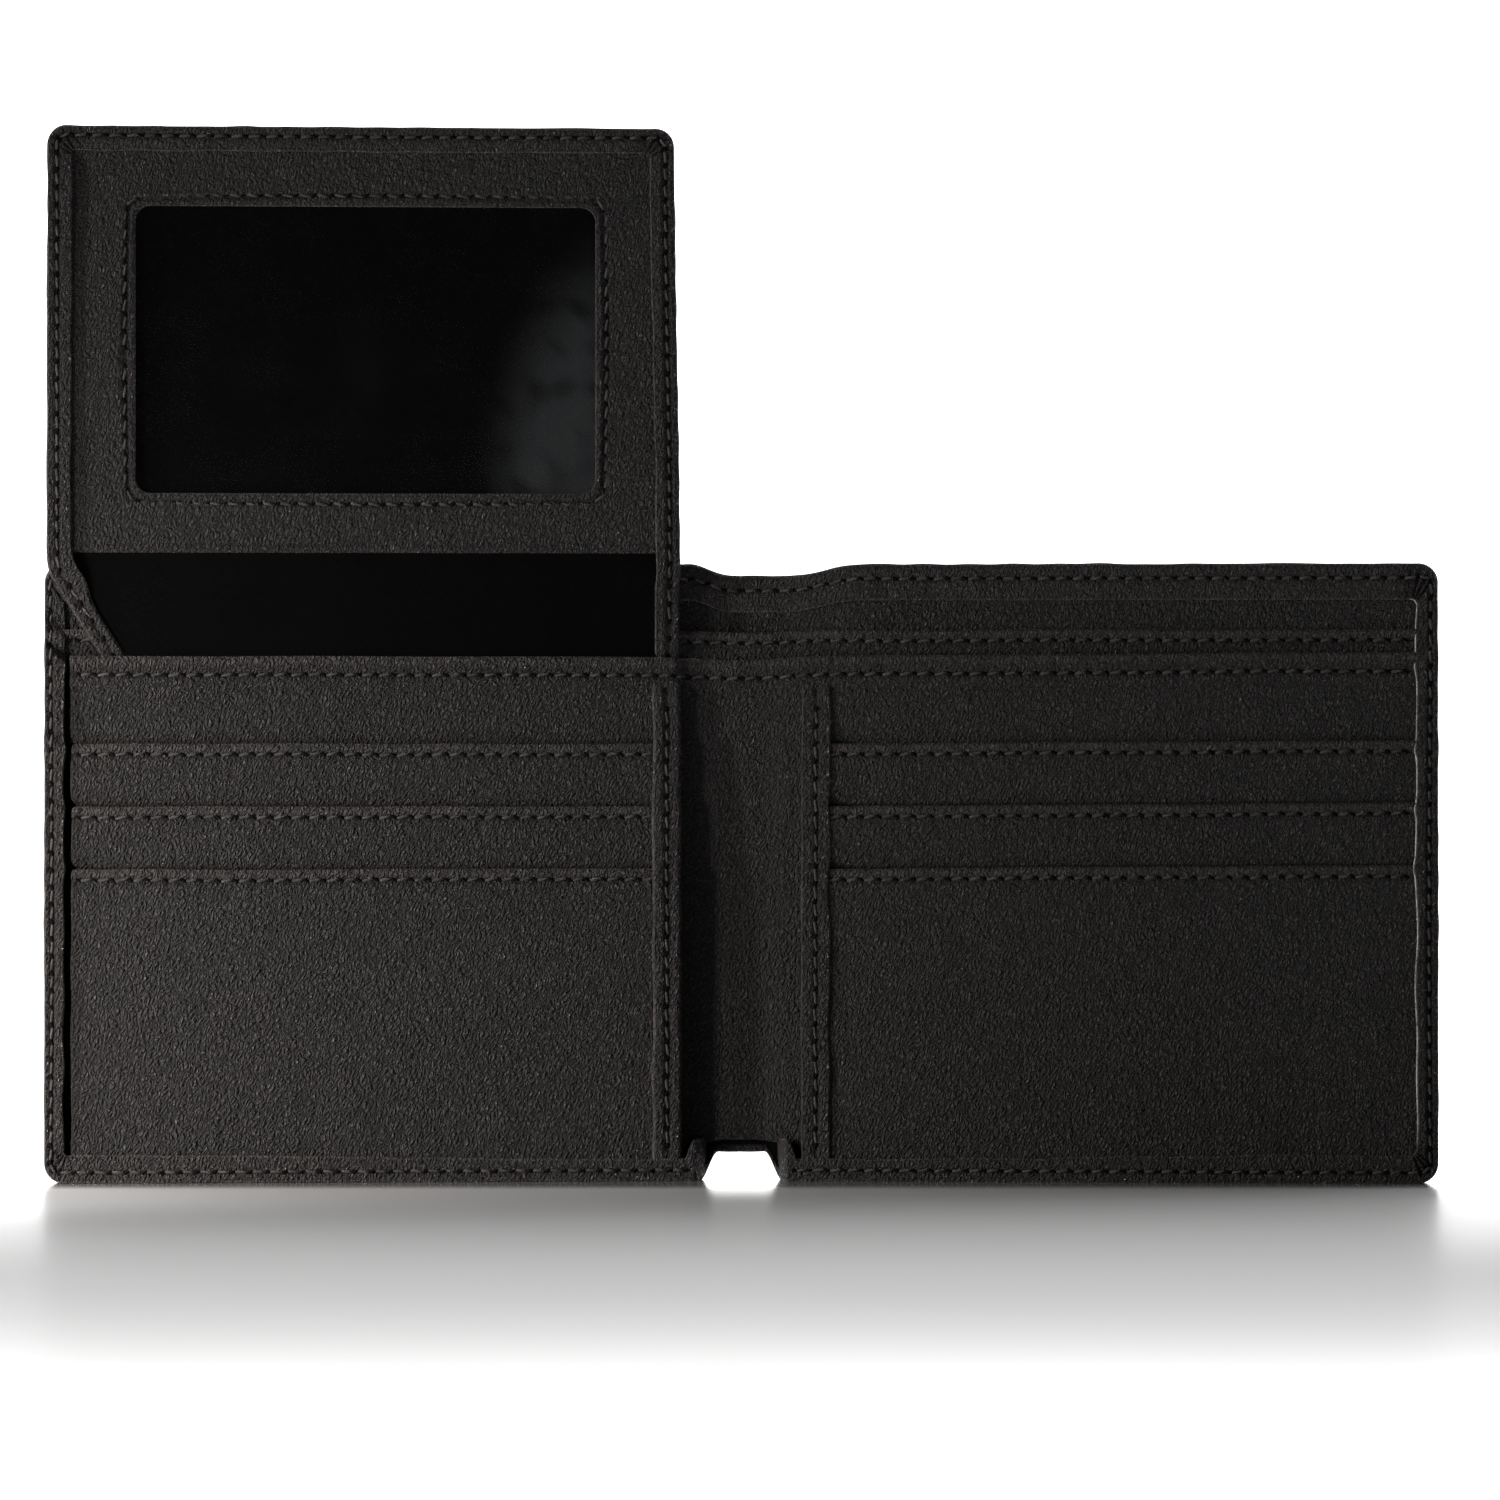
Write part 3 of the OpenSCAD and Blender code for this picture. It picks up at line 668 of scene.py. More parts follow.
# ------------ cover
def cover_edge_lines(side):
    """The outer and inner lines of a cover half's turned edge, and the lip's depth on them."""
    side_width = 3.15 if side < 0 else 3.55
    top_width, low_width, inner_corner = 5.8, 4.5, 0.7
    step_heights = [top for top, _ in STEPS]
    top_x = stations(0, OUT - CORNER, (8, 20), 0.8, 0.5, 6)
    side_z = stations(CORNER, COVER_TOP - CORNER, step_heights, 0.8, 0.4)[::-1]
    bottom_x = stations(0, OUT - CORNER, (ARCH[1],), 0.8, 0.25, 3)[::-1]
    arc = np.linspace(0, math.pi / 2, 14)[1:-1]
    flat, span = OUT - CORNER, OUT - side_width - inner_corner
    high_z, low_z = COVER_TOP - top_width - inner_corner, low_width + inner_corner
    top_z, bottom_z = cover_top(side * top_x), cover_bottom(bottom_x)
    inner_z = low_z + (side_z - CORNER) / (COVER_TOP - 2 * CORNER) * (high_z - low_z)
    bump = sum(0.3 * hump(side_z, top + 0.9, 1.4) for top in step_heights[1:])
    side_in = side_width + bump + 0.22 * waver(side_z, 11, 20 + side)
    tongue = 6.7 * fade(bottom_x, 7.3, 11.2) - bottom_z
    foot = np.maximum(3.6 + 0.9 * smooth(bottom_x, 15, 100), tongue)
    foot = foot + 0.16 * waver(bottom_x, 13, 40 + side)
    outer = (
        pair(top_x, top_z),
        corner_arc(flat, COVER_TOP - CORNER, CORNER, math.pi / 2 - arc),
        pair(OUT, side_z),
        corner_arc(flat, CORNER, CORNER, -arc),
        pair(bottom_x, bottom_z),
    )
    inner = (
        pair(top_x * span / flat, top_z - top_width),
        corner_arc(span, high_z, inner_corner, math.pi / 2 - arc),
        pair(OUT - side_in, inner_z),
        corner_arc(span, low_z, inner_corner, -arc),
        pair(bottom_x * span / flat, bottom_z + foot),
    )
    front = (
        rear_depth(side * top_x) + LIP_T,
        np.full(len(arc), REAR_D + LIP_T),
        stack_depth(0.5 * (side_z + inner_z)) + LIP_T,
        np.full(len(arc), LIP_D),
        1.9 + (LIP_D - 1.9) * smooth(bottom_x, 5.2, 7.6),
    )
    return (np.concatenate(parts) for parts in (outer, inner, front))


def cover_border(side):
    """The cover's edge, turned over all the layers and gathered at the corners, with its stitches."""
    name = label(side)
    outer, inner, front = cover_edge_lines(side)
    walked = walk(outer)
    pleats = sum(gathers(outer, (OUT - 1, height), 5.5, 7) for height in (COVER_TOP - 1, 1))
    # Painted highlight: only the right half's upright inner edge is turned pale.
    upright = smooth(inner[:, 0], OUT - 5, OUT - 4.4) * smooth(inner[:, 1], 5, 8)
    painted_edge_highlight = 1.1 * upright[:, None] if side > 0 else 0
    side_seam = 1.25 if side < 0 else 1.45
    end_seam = np.where(outer[:, 1] > 50, 2.3, SEAM_IN)
    seam_in = side_seam + (end_seam - side_seam) * smooth(OUT - outer[:, 0], 0, CORNER)
    out, depth, height, wear_and_painted_light, seam = turned_edge(outer, inner, np.zeros(len(outer)), front, walked, pleats,
                                                 seam=seam_in, painted_edge_highlight=painted_edge_highlight)
    piece = add_grid("cover_border_" + name, side * out, depth, height, LEATHER, wear_and_painted_light)
    over_spine(piece, side, "leather", COVER_BEND, "cover_" + name, "cover_spine")
    along, deep, rise = side * seam[0], seam[1], seam[2]
    sewn = (seam[0] > 6.8) | (rise > 40)  # the raised edge's front has no thread
    threads = stitches("border_stitches_" + name, along[sewn], deep[sewn], rise[sewn], 0.12 * side,
                       measure=walked[sewn])
    back = stitches("back_stitches_" + name, along, 0.14, rise, 0.12 * side, backward=True, measure=walked)
    for row in (threads, back):
        over_spine(row, side, "thread", COVER_BEND, "border_thread_" + name)


def cover_back(side):
    """The cover's outside face."""
    name = label(side)
    edge = 3.4
    across = stations(0, OUT - edge, (ARCH[0], ARCH[1]), 1.6, 0.7, 3)[None, :]
    low, high = cover_bottom(across) + edge, cover_top(side * across) - edge
    height = low + (high - low) * stations(0, 1, (), 0.016)[:, None]
    dent = 0.12 * ripple(across, height, 38, 60 + side)
    dent = dent * smooth(np.minimum(height - low, high - height), 0, 12) * smooth(OUT - edge - across, 0, 12)
    piece = add_grid("cover_back_" + name, side * across, 0.02 - dent, height, LEATHER)
    over_spine(piece, side, "leather", COVER_BEND, "cover_" + name, "cover_spine")


# ------------ panels
def panel(name, along, drop_to, top, depth, thick, seam, features=(), end=None, back_reach=5,
          low_edge=None, flat_spine=True, curl=False, shade=None):
    """A leather panel with a turned top edge: up its front, over the edge and down its back.

    depth, shade and end's limit are functions: the front's depth, its painted shade in creases and its far
    end."""
    radius = thick / 2
    drops = stations(radius, drop_to, (seam,) + features, 1.6, 0.28)[::-1, None]
    front_z = top[None, :] - drops
    if low_edge is not None:
        front_z = front_z + (low_edge - top + drop_to)[None, :] * smooth(drops, 0.35 * drop_to, drop_to)
    wide = along[None, :] + 0 * front_z
    surface = depth(wide, front_z, drops + 0 * front_z)
    dark = 0 * front_z if shade is None else shade(wide, front_z)
    # Lighter band below the edge from edge wear plus painted highlight, minus painted shade in the crevice.
    rows = [(front_z, surface, 0.42 * hump(drops, 0.8, 0.75) * (1 - dark) - dark)]
    level, edge = front_z[-1:], surface[-1:]
    roll = np.linspace(0, math.pi, 8)[1:, None]
    # The roll is lighter from edge wear plus painted highlight.
    rows.append((level + radius * np.sin(roll), edge - radius + radius * np.cos(roll), 0.75 * np.sin(roll)))
    down = np.array([[1.2], [back_reach]])
    rows.append((level - down, edge - thick - 0 * down, 0 * down))
    if curl:
        under = np.linspace(math.pi / 2, 0, 4)[:-1, None]
        lowest = (front_z[:1] - 0.27 * np.sin(under), surface[:1] - 0.9 * np.sin(under), 0.4 * np.cos(under))
        rows.insert(0, lowest)
    height, deep, wear_and_painted_light = (np.concatenate([row[k] + 0 * level for row in rows]) for k in range(3))
    wide = along[None, :] + 0 * height
    if end is not None:
        limit, side = end
        edge_at = limit(height)
        out = np.abs(wide)
        start = out.min()
        out = start + (out - start) * (edge_at - start) / (out.max() - start)
        wide = side * out
        fall = rounded(0, edge_at - out, 0.55)
        deep = deep - fall * 1.3
        wear_and_painted_light = wear_and_painted_light + 0.35 * smooth(fall, 0, 0.3) * (1 - np.abs(wear_and_painted_light))
    return add_grid(name, wide, deep, height, LEATHER, wear_and_painted_light, flat_spine)


def seam_columns(low, high):
    """Places along a seam, five to each stitch and one of them on its hole, closer at a rounded end."""
    step = PITCH / 5
    inner = np.arange(math.ceil(low / step), math.floor((high - 0.7) / step) + 1) * step
    ends = high - np.array([0.5, 0.35, 0.22, 0.12, 0.04, 0])
    return np.unique(np.round(np.concatenate([[low], inner, ends]), 4))


def slot_mouth(side, index, out):
    """Height of a slot's edge, counted from the top slot, at each distance from the spine."""
    if index >= len(SLOT_TOPS):
        return 0 * out - 10
    tilt = 0 if side < 0 else 0.0065
    return SLOT_TOPS[index] + tilt * (out - 12) + 0.1 * waver(out, 26, 70 + index + 5 * side)


def painted_crevice_shade(side, index, wide, height):
    """Painted shade: 1 in the fold just above the next slot's edge and beside the binding, else 0."""
    out = np.abs(wide)
    above = fade(height - slot_mouth(side, index, out), 0.3, 0.75)
    beside = fade(np.abs(out - FOLD_X - 1 - BINDING), 0.2, 0.45)
    return np.maximum(above * smooth(out, 13, 14.5), beside)


def tucked(above, near, under):
    """How far a layer sinks towards the next slot's edge and under it, by its height above it."""
    return near * fade(above, 0, 3) + under * fade(above, -0.7, 0.9)


def slot_layers(side):
    """The stepped card-slot strips and the big pocket of one leaf, with their stitches."""
    name = label(side)
    layers = (("top_slot_strip_", TOP_D), ("middle_slot_strip_", MIDDLE_D), ("pocket_face_", POCKET_D))
    far = FOLD_X + 98.4 if side < 0 else LAYER_END
    columns = seam_columns(10.2, far)
    for index, (kind, front) in enumerate(layers):
        last = kind == "pocket_face_"
        top_z, next_z = SLOT_TOPS[index], 1 if last else SLOT_TOPS[index + 1]
        top = slot_mouth(side, index, columns)
        if side < 0:
            top = top - rounded(0, far - columns, 0.9)

        def depth(wide, height, drop, front=front, index=index, next_z=next_z, last=last):
            soft = 0.12 * ripple(wide, height, 24, 80 + index + 5 * side) * smooth(drop, 1, 8)
            sunk = 0 if last else tucked(height - next_z, 0.25, 0.95)
            return front + 0.08 + pucker(wide, drop - SEAM_IN) + soft - sunk

        def limit(height, next_z=next_z, last=last):
            if side > 0:
                return far + 0 * height
            pinch = 0 if last else 0.9 * fade(height - next_z, -0.2, 1.4)
            return far - pinch + 0.15 * waver(height, 12, 90)

        def shade(wide, height, index=index):
            return painted_crevice_shade(side, index + 1, wide, height)

        low = next_z if last else next_z - 3
        features = () if last else (top_z - next_z,)
        piece = panel(kind + "leather_" + name, side * columns, top_z - low, top, depth, 0.9, SEAM_IN,
                      features, end=(limit, side), flat_spine=False, shade=shade)
        moves_with(leaf_body(side), piece, "leather", kind + name)
        line = np.arange(13, far - 0.4, 0.5)
        rise = np.interp(line, columns, top) - SEAM_IN
        threads = stitches(kind + "stitches_" + name, side * line, front - 0.1, rise, 0.17, False,
                           measure=line)
        moves_with(leaf_body(side), threads, "thread", "slot_thread_" + name)


def front_wall(side):
    """The front wall of the note compartments, hemmed along its top and slack over the spine."""
    name = label(side)
    far = FOLD_X + 98.6 if side < 0 else LAYER_END
    columns = seam_columns(0, far)
    along = side * columns
    tilt = 0 if side < 0 else 0.006
    top = FRONT_TOP - 0.5 * hump(columns, 0, 9) + tilt * columns + 0.1 * waver(along, 30, 100)
    low = 1 + (5.6 - 0.7 * smooth(columns, 2, 9)) * fade(columns, 9, 11)

    def depth(wide, height, drop):
        out = np.abs(wide)
        hem = 0.32 * fade(drop, 4.75, 5)
        soft = 0.12 * ripple(wide, height, 22, 110) * smooth(drop, 5, 12)
        slack = fade(out, 8, 11) * smooth(drop, 4, 14)
        folds = 0.22 * ripple(wide * 1.6, height * 0.12, 7, 111) * slack
        sunk = tucked(height - TOP_Z, 0.2, 0.85) * smooth(out, 12, 15)
        return front_depth(wide) + hem + pucker(wide, drop - 3) + soft + folds - sunk

    def limit(height):
        return far + 0 * height

    def shade(wide, height):
        return painted_crevice_shade(side, 0, wide, height)

    piece = panel("front_wall_leather_" + name, along, FRONT_TOP - 1, top, depth, 0.95, 3, (4.9,),
                  end=(limit, side), low_edge=low, back_reach=8, curl=True, shade=shade)
    over_spine(piece, side, "leather", LAYER_BEND, "front_wall_" + name, "front_wall_spine")
    line = np.arange(0, far - 0.8, 0.5)
    rise = np.interp(line, columns, top) - 3
    threads = stitches("hem_stitches_" + name, side * line, front_depth(side * line) + 0.2, rise, 0.17,
                       measure=line)
    over_spine(threads, side, "thread", LAYER_BEND, "slot_thread_" + name, "hem_thread_spine")


def wall_cloth(name, side, top, rows, depth):
    """Cloth from the cover's lower edge to that height, over one leaf and half the spine."""
    across = stations(0, LAYER_END, (FOLD_X,), 2, 0.6, 3)[None, :]
    foot = cover_bottom(across) + 1.2
    height = foot + (top - foot) * np.linspace(0, 1, rows)[:, None]
    return add_grid(name, side * across, depth(side * across, height), height, TWILL)


def divider(side):
    """The leather-topped divider between the two note compartments."""
    name = label(side)
    columns = seam_columns(0, LAYER_END)
    along = side * columns
    top = DIVIDER_TOP + 0.12 * waver(along, 34, 120) - 0.5 * hump(along, 2, 9)

    def depth(wide, height, drop):
        uneven = 0.05 * ripple(wide, height, 20, 121)
        return divider_depth(wide) + 0.8 * pucker(wide, drop - SEAM_IN) + uneven

    piece = panel("divider_leather_" + name, along, 12, top, depth, 0.75, SEAM_IN, back_reach=11.5)
    over_spine(piece, side, "leather", LAYER_BEND, "divider_trim_" + name, "divider_trim_spine")
    line = np.arange(0, LAYER_END - 2, 0.5)
    rise = np.interp(line, columns, top) - SEAM_IN
    threads = stitches("divider_stitches_" + name, side * line, divider_depth(side * line) - 0.1, rise, 0.17,
                       measure=line)
    over_spine(threads, side, "thread", LAYER_BEND, "divider_thread_" + name)

    def cloth_depth(wide, height):
        pushed = (divider_depth(wide) - DIVIDER_D) * smooth(height, 60, 78)
        return DIVIDER_D - 0.45 + pushed + 0.08 * ripple(np.abs(wide), height, 18, 122)

    cloth = wall_cloth("divider_cloth_" + name, side, 78.5, 24, cloth_depth)
    over_spine(cloth, side, "lining", LAYER_BEND, "divider_" + name, "divider_spine")


def rear_facing(side):
    """Leather facing inside the rear wall, above the divider."""
    name = label(side)
    low = REAR_TOP[0]
    columns = stations(0, FOLD_X + 99.5, (FOLD_X, 16), 1, 0.5, 7)[None, :]
    height = low + (cover_top(side * columns) - 2 - low) * np.linspace(0, 1, 22)[:, None]
    swell = rear_depth(side * columns) - REAR_D + 0.1 * ripple(columns, height, 16, 130)
    depth = REAR_D + swell * smooth(height, low, low + 6)
    piece = add_grid("rear_facing_" + name, side * columns, depth, height, LEATHER)
    over_spine(piece, side, "leather", LAYER_BEND, "facing_" + name, "facing_spine")


def front_lining(side):
    """Twill behind the front wall."""
    name = label(side)

    def depth(wide, height):
        uneven = 0.05 * ripple(np.abs(wide), height, 18, 140)
        return sum(LINING_D) / 2 + front_depth(wide) - FRONT_D + uneven

    piece = wall_cloth("front_lining_cloth_" + name, side, FRONT_TOP - 3, 20, depth)
    over_spine(piece, side, "lining", LAYER_BEND, "front_lining_" + name, "front_lining_spine")


def binding(side):
    """The strip that closes the slots along the spine, stitched down its middle."""
    name = label(side)
    height = stations(2.6, HEM_Z + 0.6, [top for top, _ in STEPS], 0.7, 0.4)[::-1]
    edge_out = 10 + 0.1 * waver(height, 14, 150 + side)
    width = BINDING + 0.22 * waver(height, 15, 152 + side)
    shelf = np.maximum(stack_depth(height), FRONT_D)
    front = shelf + 0.5 - 0.1 * smooth(height, HEM_Z - 1.2, HEM_Z + 0.6)
    back = np.full(len(height), FRONT_D - 0.9)
    out, depth, rise, wear_and_painted_light, seam = turned_edge(pair(edge_out, height), pair(edge_out + width, height), back,
                                               front, height, behind=False, seam=2.3)
    piece = add_grid("binding_leather_" + name, side * out, depth, rise, LEATHER, wear_and_painted_light, flat_spine=False)
    moves_with(leaf_body(side), piece, "leather", "binding_" + name)
    keep = (height < HEM_Z - 0.8) & (height > 4.8)
    threads = stitches("binding_stitches_" + name, side * seam[0][keep], seam[1][keep], seam[2][keep], 0.16,
                       False, measure=height[keep])
    moves_with(leaf_body(side), threads, "thread", "binding_thread_" + name)


# ------------ flap and its web, on the left
def flap_grid(name, out, depth, height, material, wear_and_painted_light=None):
    """A mesh on the flap or its web, with out counted outward from the spine's middle."""
    return add_grid(name, -out, depth, height, material, wear_and_painted_light, flat_spine=False)


def flap_edge_out(height):
    """The flap's outer edge at each height, web included."""
    taper = 0.1 * smooth(height, SHOULDER, FLAP_TOP)
    return FLAP_OUT - taper - SLOPE * np.logaddexp(0, SHOULDER - 0.5 - np.asarray(height, float))


def flap_width(height):
    """Width of the turned edge on the flap's outer side, widest at its shoulder."""
    return 3.9 + 1.2 * hump(height, SHOULDER - 1.7, 3)


def flap_edge_in(height):
    """The flap's edge beside the spine at each height."""
    return FLAP_IN + 0.9 * smooth(height, SHOULDER, FLAP_TOP)


def front_at(height):
    """Depth of the flap's lip, sinking towards the web's strips."""
    web_front = WEB_D + 0.85
    return web_front + (FLAP_LIP - web_front) * smooth(height, WEB_HIGH + 0.8, SHOULDER + 1.5)


def back_at(height):
    """Depth of the flap's back leather, and of the back of the web's strips."""
    return (WEB_D - 0.8) + (FLAP_BACK - WEB_D + 0.8) * smooth(height, WEB_HIGH + 0.5, SHOULDER)


def flap_border():
    """The flap's back leather turned over its edges, with its stitches."""
    radius, width, corner = 3, 3.9, 0.7
    low, high = SHOULDER - 2, FLAP_TOP - width - corner
    near, far = flap_edge_in(FLAP_TOP), flap_edge_out(FLAP_TOP)
    up = stations(low, FLAP_TOP - radius, (SHOULDER,), 0.8, 0.4)
    top = stations(near + radius, far - radius, (), 0.8)
    arc = np.linspace(0, math.pi / 2, 12)[1:-1]
    wave = 0.15 * waver(up, 13, 160)
    inner_z = low + (up - low) / (FLAP_TOP - radius - low) * (high - low)
    top_in = np.interp(top, [top[0], top[-1]], [near + width + corner, far - width - corner])
    top_z = FLAP_TOP - width - 0.12 * waver(top, 13, 161) - 0.1
    outer_in = flap_edge_out(up) - flap_width(inner_z) - wave * smooth(up, low, low + 4)
    outer = np.concatenate([
        pair(flap_edge_in(up), up),
        corner_arc(near + radius, FLAP_TOP - radius, radius, math.pi - arc),
        pair(top, FLAP_TOP),
        corner_arc(far - radius, FLAP_TOP - radius, radius, math.pi / 2 - arc),
        pair(flap_edge_out(up), up)[::-1],
    ])
    inner = np.concatenate([
        pair(flap_edge_in(up) + width + wave, inner_z),
        corner_arc(near + width + corner, high, corner, math.pi - arc),
        pair(top_in, top_z),
        corner_arc(far - width - corner, high, corner, math.pi / 2 - arc),
        pair(outer_in, inner_z)[::-1],
    ])
    walked = walk(outer)
    pleats = sum(gathers(outer, (spot, FLAP_TOP - 1), 5, 6) for spot in (far - 1, near + 1))
    out, depth, height, wear_and_painted_light, seam = turned_edge(outer, inner, back_at(outer[:, 1]), front_at(outer[:, 1]),
                                                 walked, pleats, seam=1.6)
    piece = flap_grid("flap_border_leather", out, depth, height, LEATHER, wear_and_painted_light)
    moves_with("flap", piece, "leather", "flap_cover")
    for kind, deep in (("flap_border_stitches", seam[1]), ("flap_back_stitches", FLAP_BACK + 0.14)):
        threads = stitches(kind, -seam[0], deep, seam[2], 0.12, False, "back" in kind, walked)
        moves_with("flap", threads, "thread", "flap_border_thread")


def flap_back():
    """The flap's plain leather back."""
    low, high, edge = WEB_HIGH + 1, FLAP_TOP - 3.3, 3.3
    height = stations(low, high, (SHOULDER,), 1.6, 0.8)[:, None]
    share = np.linspace(0, 1, 64)[None, :]
    near, far = flap_edge_in(height) + edge, flap_edge_out(height) - edge
    out = near + (far - near) * share
    inside = smooth(high - height, 0, 10) * smooth(height, low, low + 10)
    inside = inside * smooth(share, 0, 0.1) * fade(share, 0.9, 1)
    depth = back_at(height) + 0.02 - 0.1 * ripple(out, height, 36, 170) * inside
    piece = flap_grid("flap_back_leather", out, depth, height, LEATHER)
    moves_with("flap", piece, "leather", "flap_cover")


def rounded_rectangle(centre, half, radius, per_side, per_corner):
    """Points round a rectangle with rounded corners, starting at the middle of its right side."""
    points = []
    side_share = np.linspace(0, 1, per_side, endpoint=False)
    arc = np.linspace(0, math.pi / 2, per_corner, endpoint=False)
    for quarter in range(4):
        a, b = (half if quarter % 2 == 0 else half[::-1])
        turned = np.concatenate([
            pair(a, (b - radius) * side_share),
            corner_arc(a - radius, b - radius, radius, arc),
            pair((a - radius) * (1 - side_share), b),
        ])
        angle = quarter * math.pi / 2
        spin = np.array([[math.cos(angle), math.sin(angle)], [-math.sin(angle), math.cos(angle)]])
        points.append(turned @ spin)
    return np.concatenate(points) + np.array(centre)


def flap_frame():
    """The leather frame round the window, its edge rolled inward, with a ring of stitches."""
    film = extent("flap_window")
    centre = (sum(film[0]) / 2, sum(film[2]) / 2)
    half = (WINDOW[0] / 2, WINDOW[1] / 2)
    window = rounded_rectangle(centre, half, WINDOW_R, 34, 9)
    low, high = FRAME_LOW, FLAP_TOP - 3
    near, far = FLAP_IN + 3, FLAP_OUT - 3.2
    middle, reach = ((near + far) / 2, (low + high) / 2), ((far - near) / 2, (high - low) / 2)
    outside = rounded_rectangle(middle, reach, 0.8, 34, 9)
    gap = np.linalg.norm(outside - window, axis=1)[:, None]
    direction = ((outside - window) / gap)[:, None, :]
    seam, tip = 1.75, 0.45
    roll = np.linspace(math.radians(-80), math.pi / 2, 8)[None, :]
    parts = [(tip * (1 - np.cos(roll)), FRAME_D - tip + tip * np.sin(roll), 0.7 * np.cos(roll))]
    near_seam = np.array([[0.8, 1.1, 1.35, 1.55, 1.75, 1.95, 2.15, 2.5, 3, 3.6]]) + 0 * gap
    onward = 3.6 + (gap - 3.6) * (np.linspace(0, 1, 15)[None, 1:])
    walked = walk(window)[:, None]
    for inward in (near_seam, onward):
        where = window[:, None, :] + direction * inward[..., None]
        soft = 0.1 * ripple(where[..., 0], where[..., 1], 22, 180) * smooth(inward, 2, 8)
        ridge = 0.1 * hump(where[..., 1], low + 0.7, 0.4) - 0.22 * hump(where[..., 1], low + 1.35, 0.28)
        deep = FRAME_D + pucker(walked, inward - seam) + soft + ridge
        parts.append((inward, deep, 0.1 * hump(inward, 0.9, 0.5)))
    inward, depth, wear_and_painted_light = (np.concatenate([part[k] + 0 * gap for part in parts], 1) for k in range(3))
    where = window[:, None, :] + direction * inward[..., None]
    out, height = where[..., 0], where[..., 1]
    low_edge = rounded(0, height - low, 0.5)
    depth = depth - 1.2 * low_edge
    wear_and_painted_light = np.maximum(wear_and_painted_light, 0.3 * smooth(low_edge, 0, 0.2))
    # Painted shade: a dark line on the frame beside the border's turned edge.
    beside = flap_edge_out(height) - flap_width(height) - out
    painted_crease_shade = fade(beside, 0.45, 0.95) * smooth(height, low, low + 3)
    wear_and_painted_light = wear_and_painted_light * (1 - painted_crease_shade) - painted_crease_shade
    out, depth, height, wear_and_painted_light = (np.concatenate([part, part[:1]]) for part in (out, depth, height, wear_and_painted_light))
    piece = flap_grid("flap_frame_leather", out, depth, height, LEATHER, wear_and_painted_light)
    moves_with("flap", piece, "leather", "flap_frame")
    ring = rounded_rectangle(centre, (half[0] + seam, half[1] + seam), WINDOW_R + 1.2, 60, 12)
    ring = np.concatenate([ring, ring[:1]])
    threads = stitches("window_stitches", -ring[:, 0], FRAME_D - 0.12, ring[:, 1], -0.2, False)
    moves_with("flap", threads, "thread", "flap_window_thread")


def flap_film():
    """The clear film behind the window."""
    film = extent("flap_window")
    out = np.linspace(film[0][0], film[0][1], 46)[None, :]
    height = np.linspace(film[2][0], film[2][1], 32)[:, None]
    depth = FILM_D - 0.1 + 0.1 * ripple(out, height, 34, 190)
    piece = flap_grid("window_film", out, depth, height, FILM)
    moves_with("flap", piece, "film", "flap_window")


def flap_lining():
    """The twill behind the film, which also shows below the frame; painted light lightens its low corner
    beside the spine, where light falls through the film.
    """
    low, high = SHOULDER - 0.5, FLAP_TOP - 3.4
    height = stations(low, high, (), 1.3)[:, None]
    near, far = flap_edge_in(height) + 1.8, flap_edge_out(height) - 2
    out = near + (far - near) * np.linspace(0, 1, 70)[None, :]
    depth = FLAP_LINING_D - 0.05 + 0.1 * ripple(out, height, 20, 200)
    film = extent("flap_window")
    # Painted light through the film on the twill's low corner beside the spine.
    reach = np.hypot((out - film[0][0] + 4) / 26, (height - film[2][0] - 4) / 44)
    bright = fade(reach, 0.55, 1.05) * smooth(height, 104, 110)
    bright = bright * smooth(ripple(out, height, 9, 203), -1.6, 0.2)
    piece = flap_grid("flap_lining_cloth", out, depth, height, TWILL, bright)
    moves_with("flap", piece, "lining", "flap_lining")


def web_fold(piece, part, slot, *nodes):
    """A web piece's transform is baked and the CAD nodes it stands for are hidden. part is not used."""
    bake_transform(piece)
    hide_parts(*nodes)


def web_cloth(part, low, high):
    """One half of the black web."""
    inset = 1.6
    height = stations(low, high, (WEB_LOW, WEB_HIGH), 1.6, 0.4, 2)[:, None]
    near, edge = flap_edge_in(height) + inset, flap_edge_out(height)
    far = np.where(height > 84, edge, np.minimum(edge, FLAP_OUT - 9.5)) - inset
    out = near + (far - near) * np.linspace(0, 1, 60)[None, :]
    depth = WEB_D + 0.25 + 0.12 * ripple(out, height, 17, 210) * smooth(height, 83, 88)
    depth = depth + (FLAP_LINING_D - WEB_D - 0.2) * smooth(height, WEB_HIGH + 1, SHOULDER)
    cloth = flap_grid("web_cloth_" + part, out, depth, height, TWILL)
    web_fold(cloth, part, "lining", *(("flap_tab", "flap_web") if part == "lower" else ("flap_web",)))


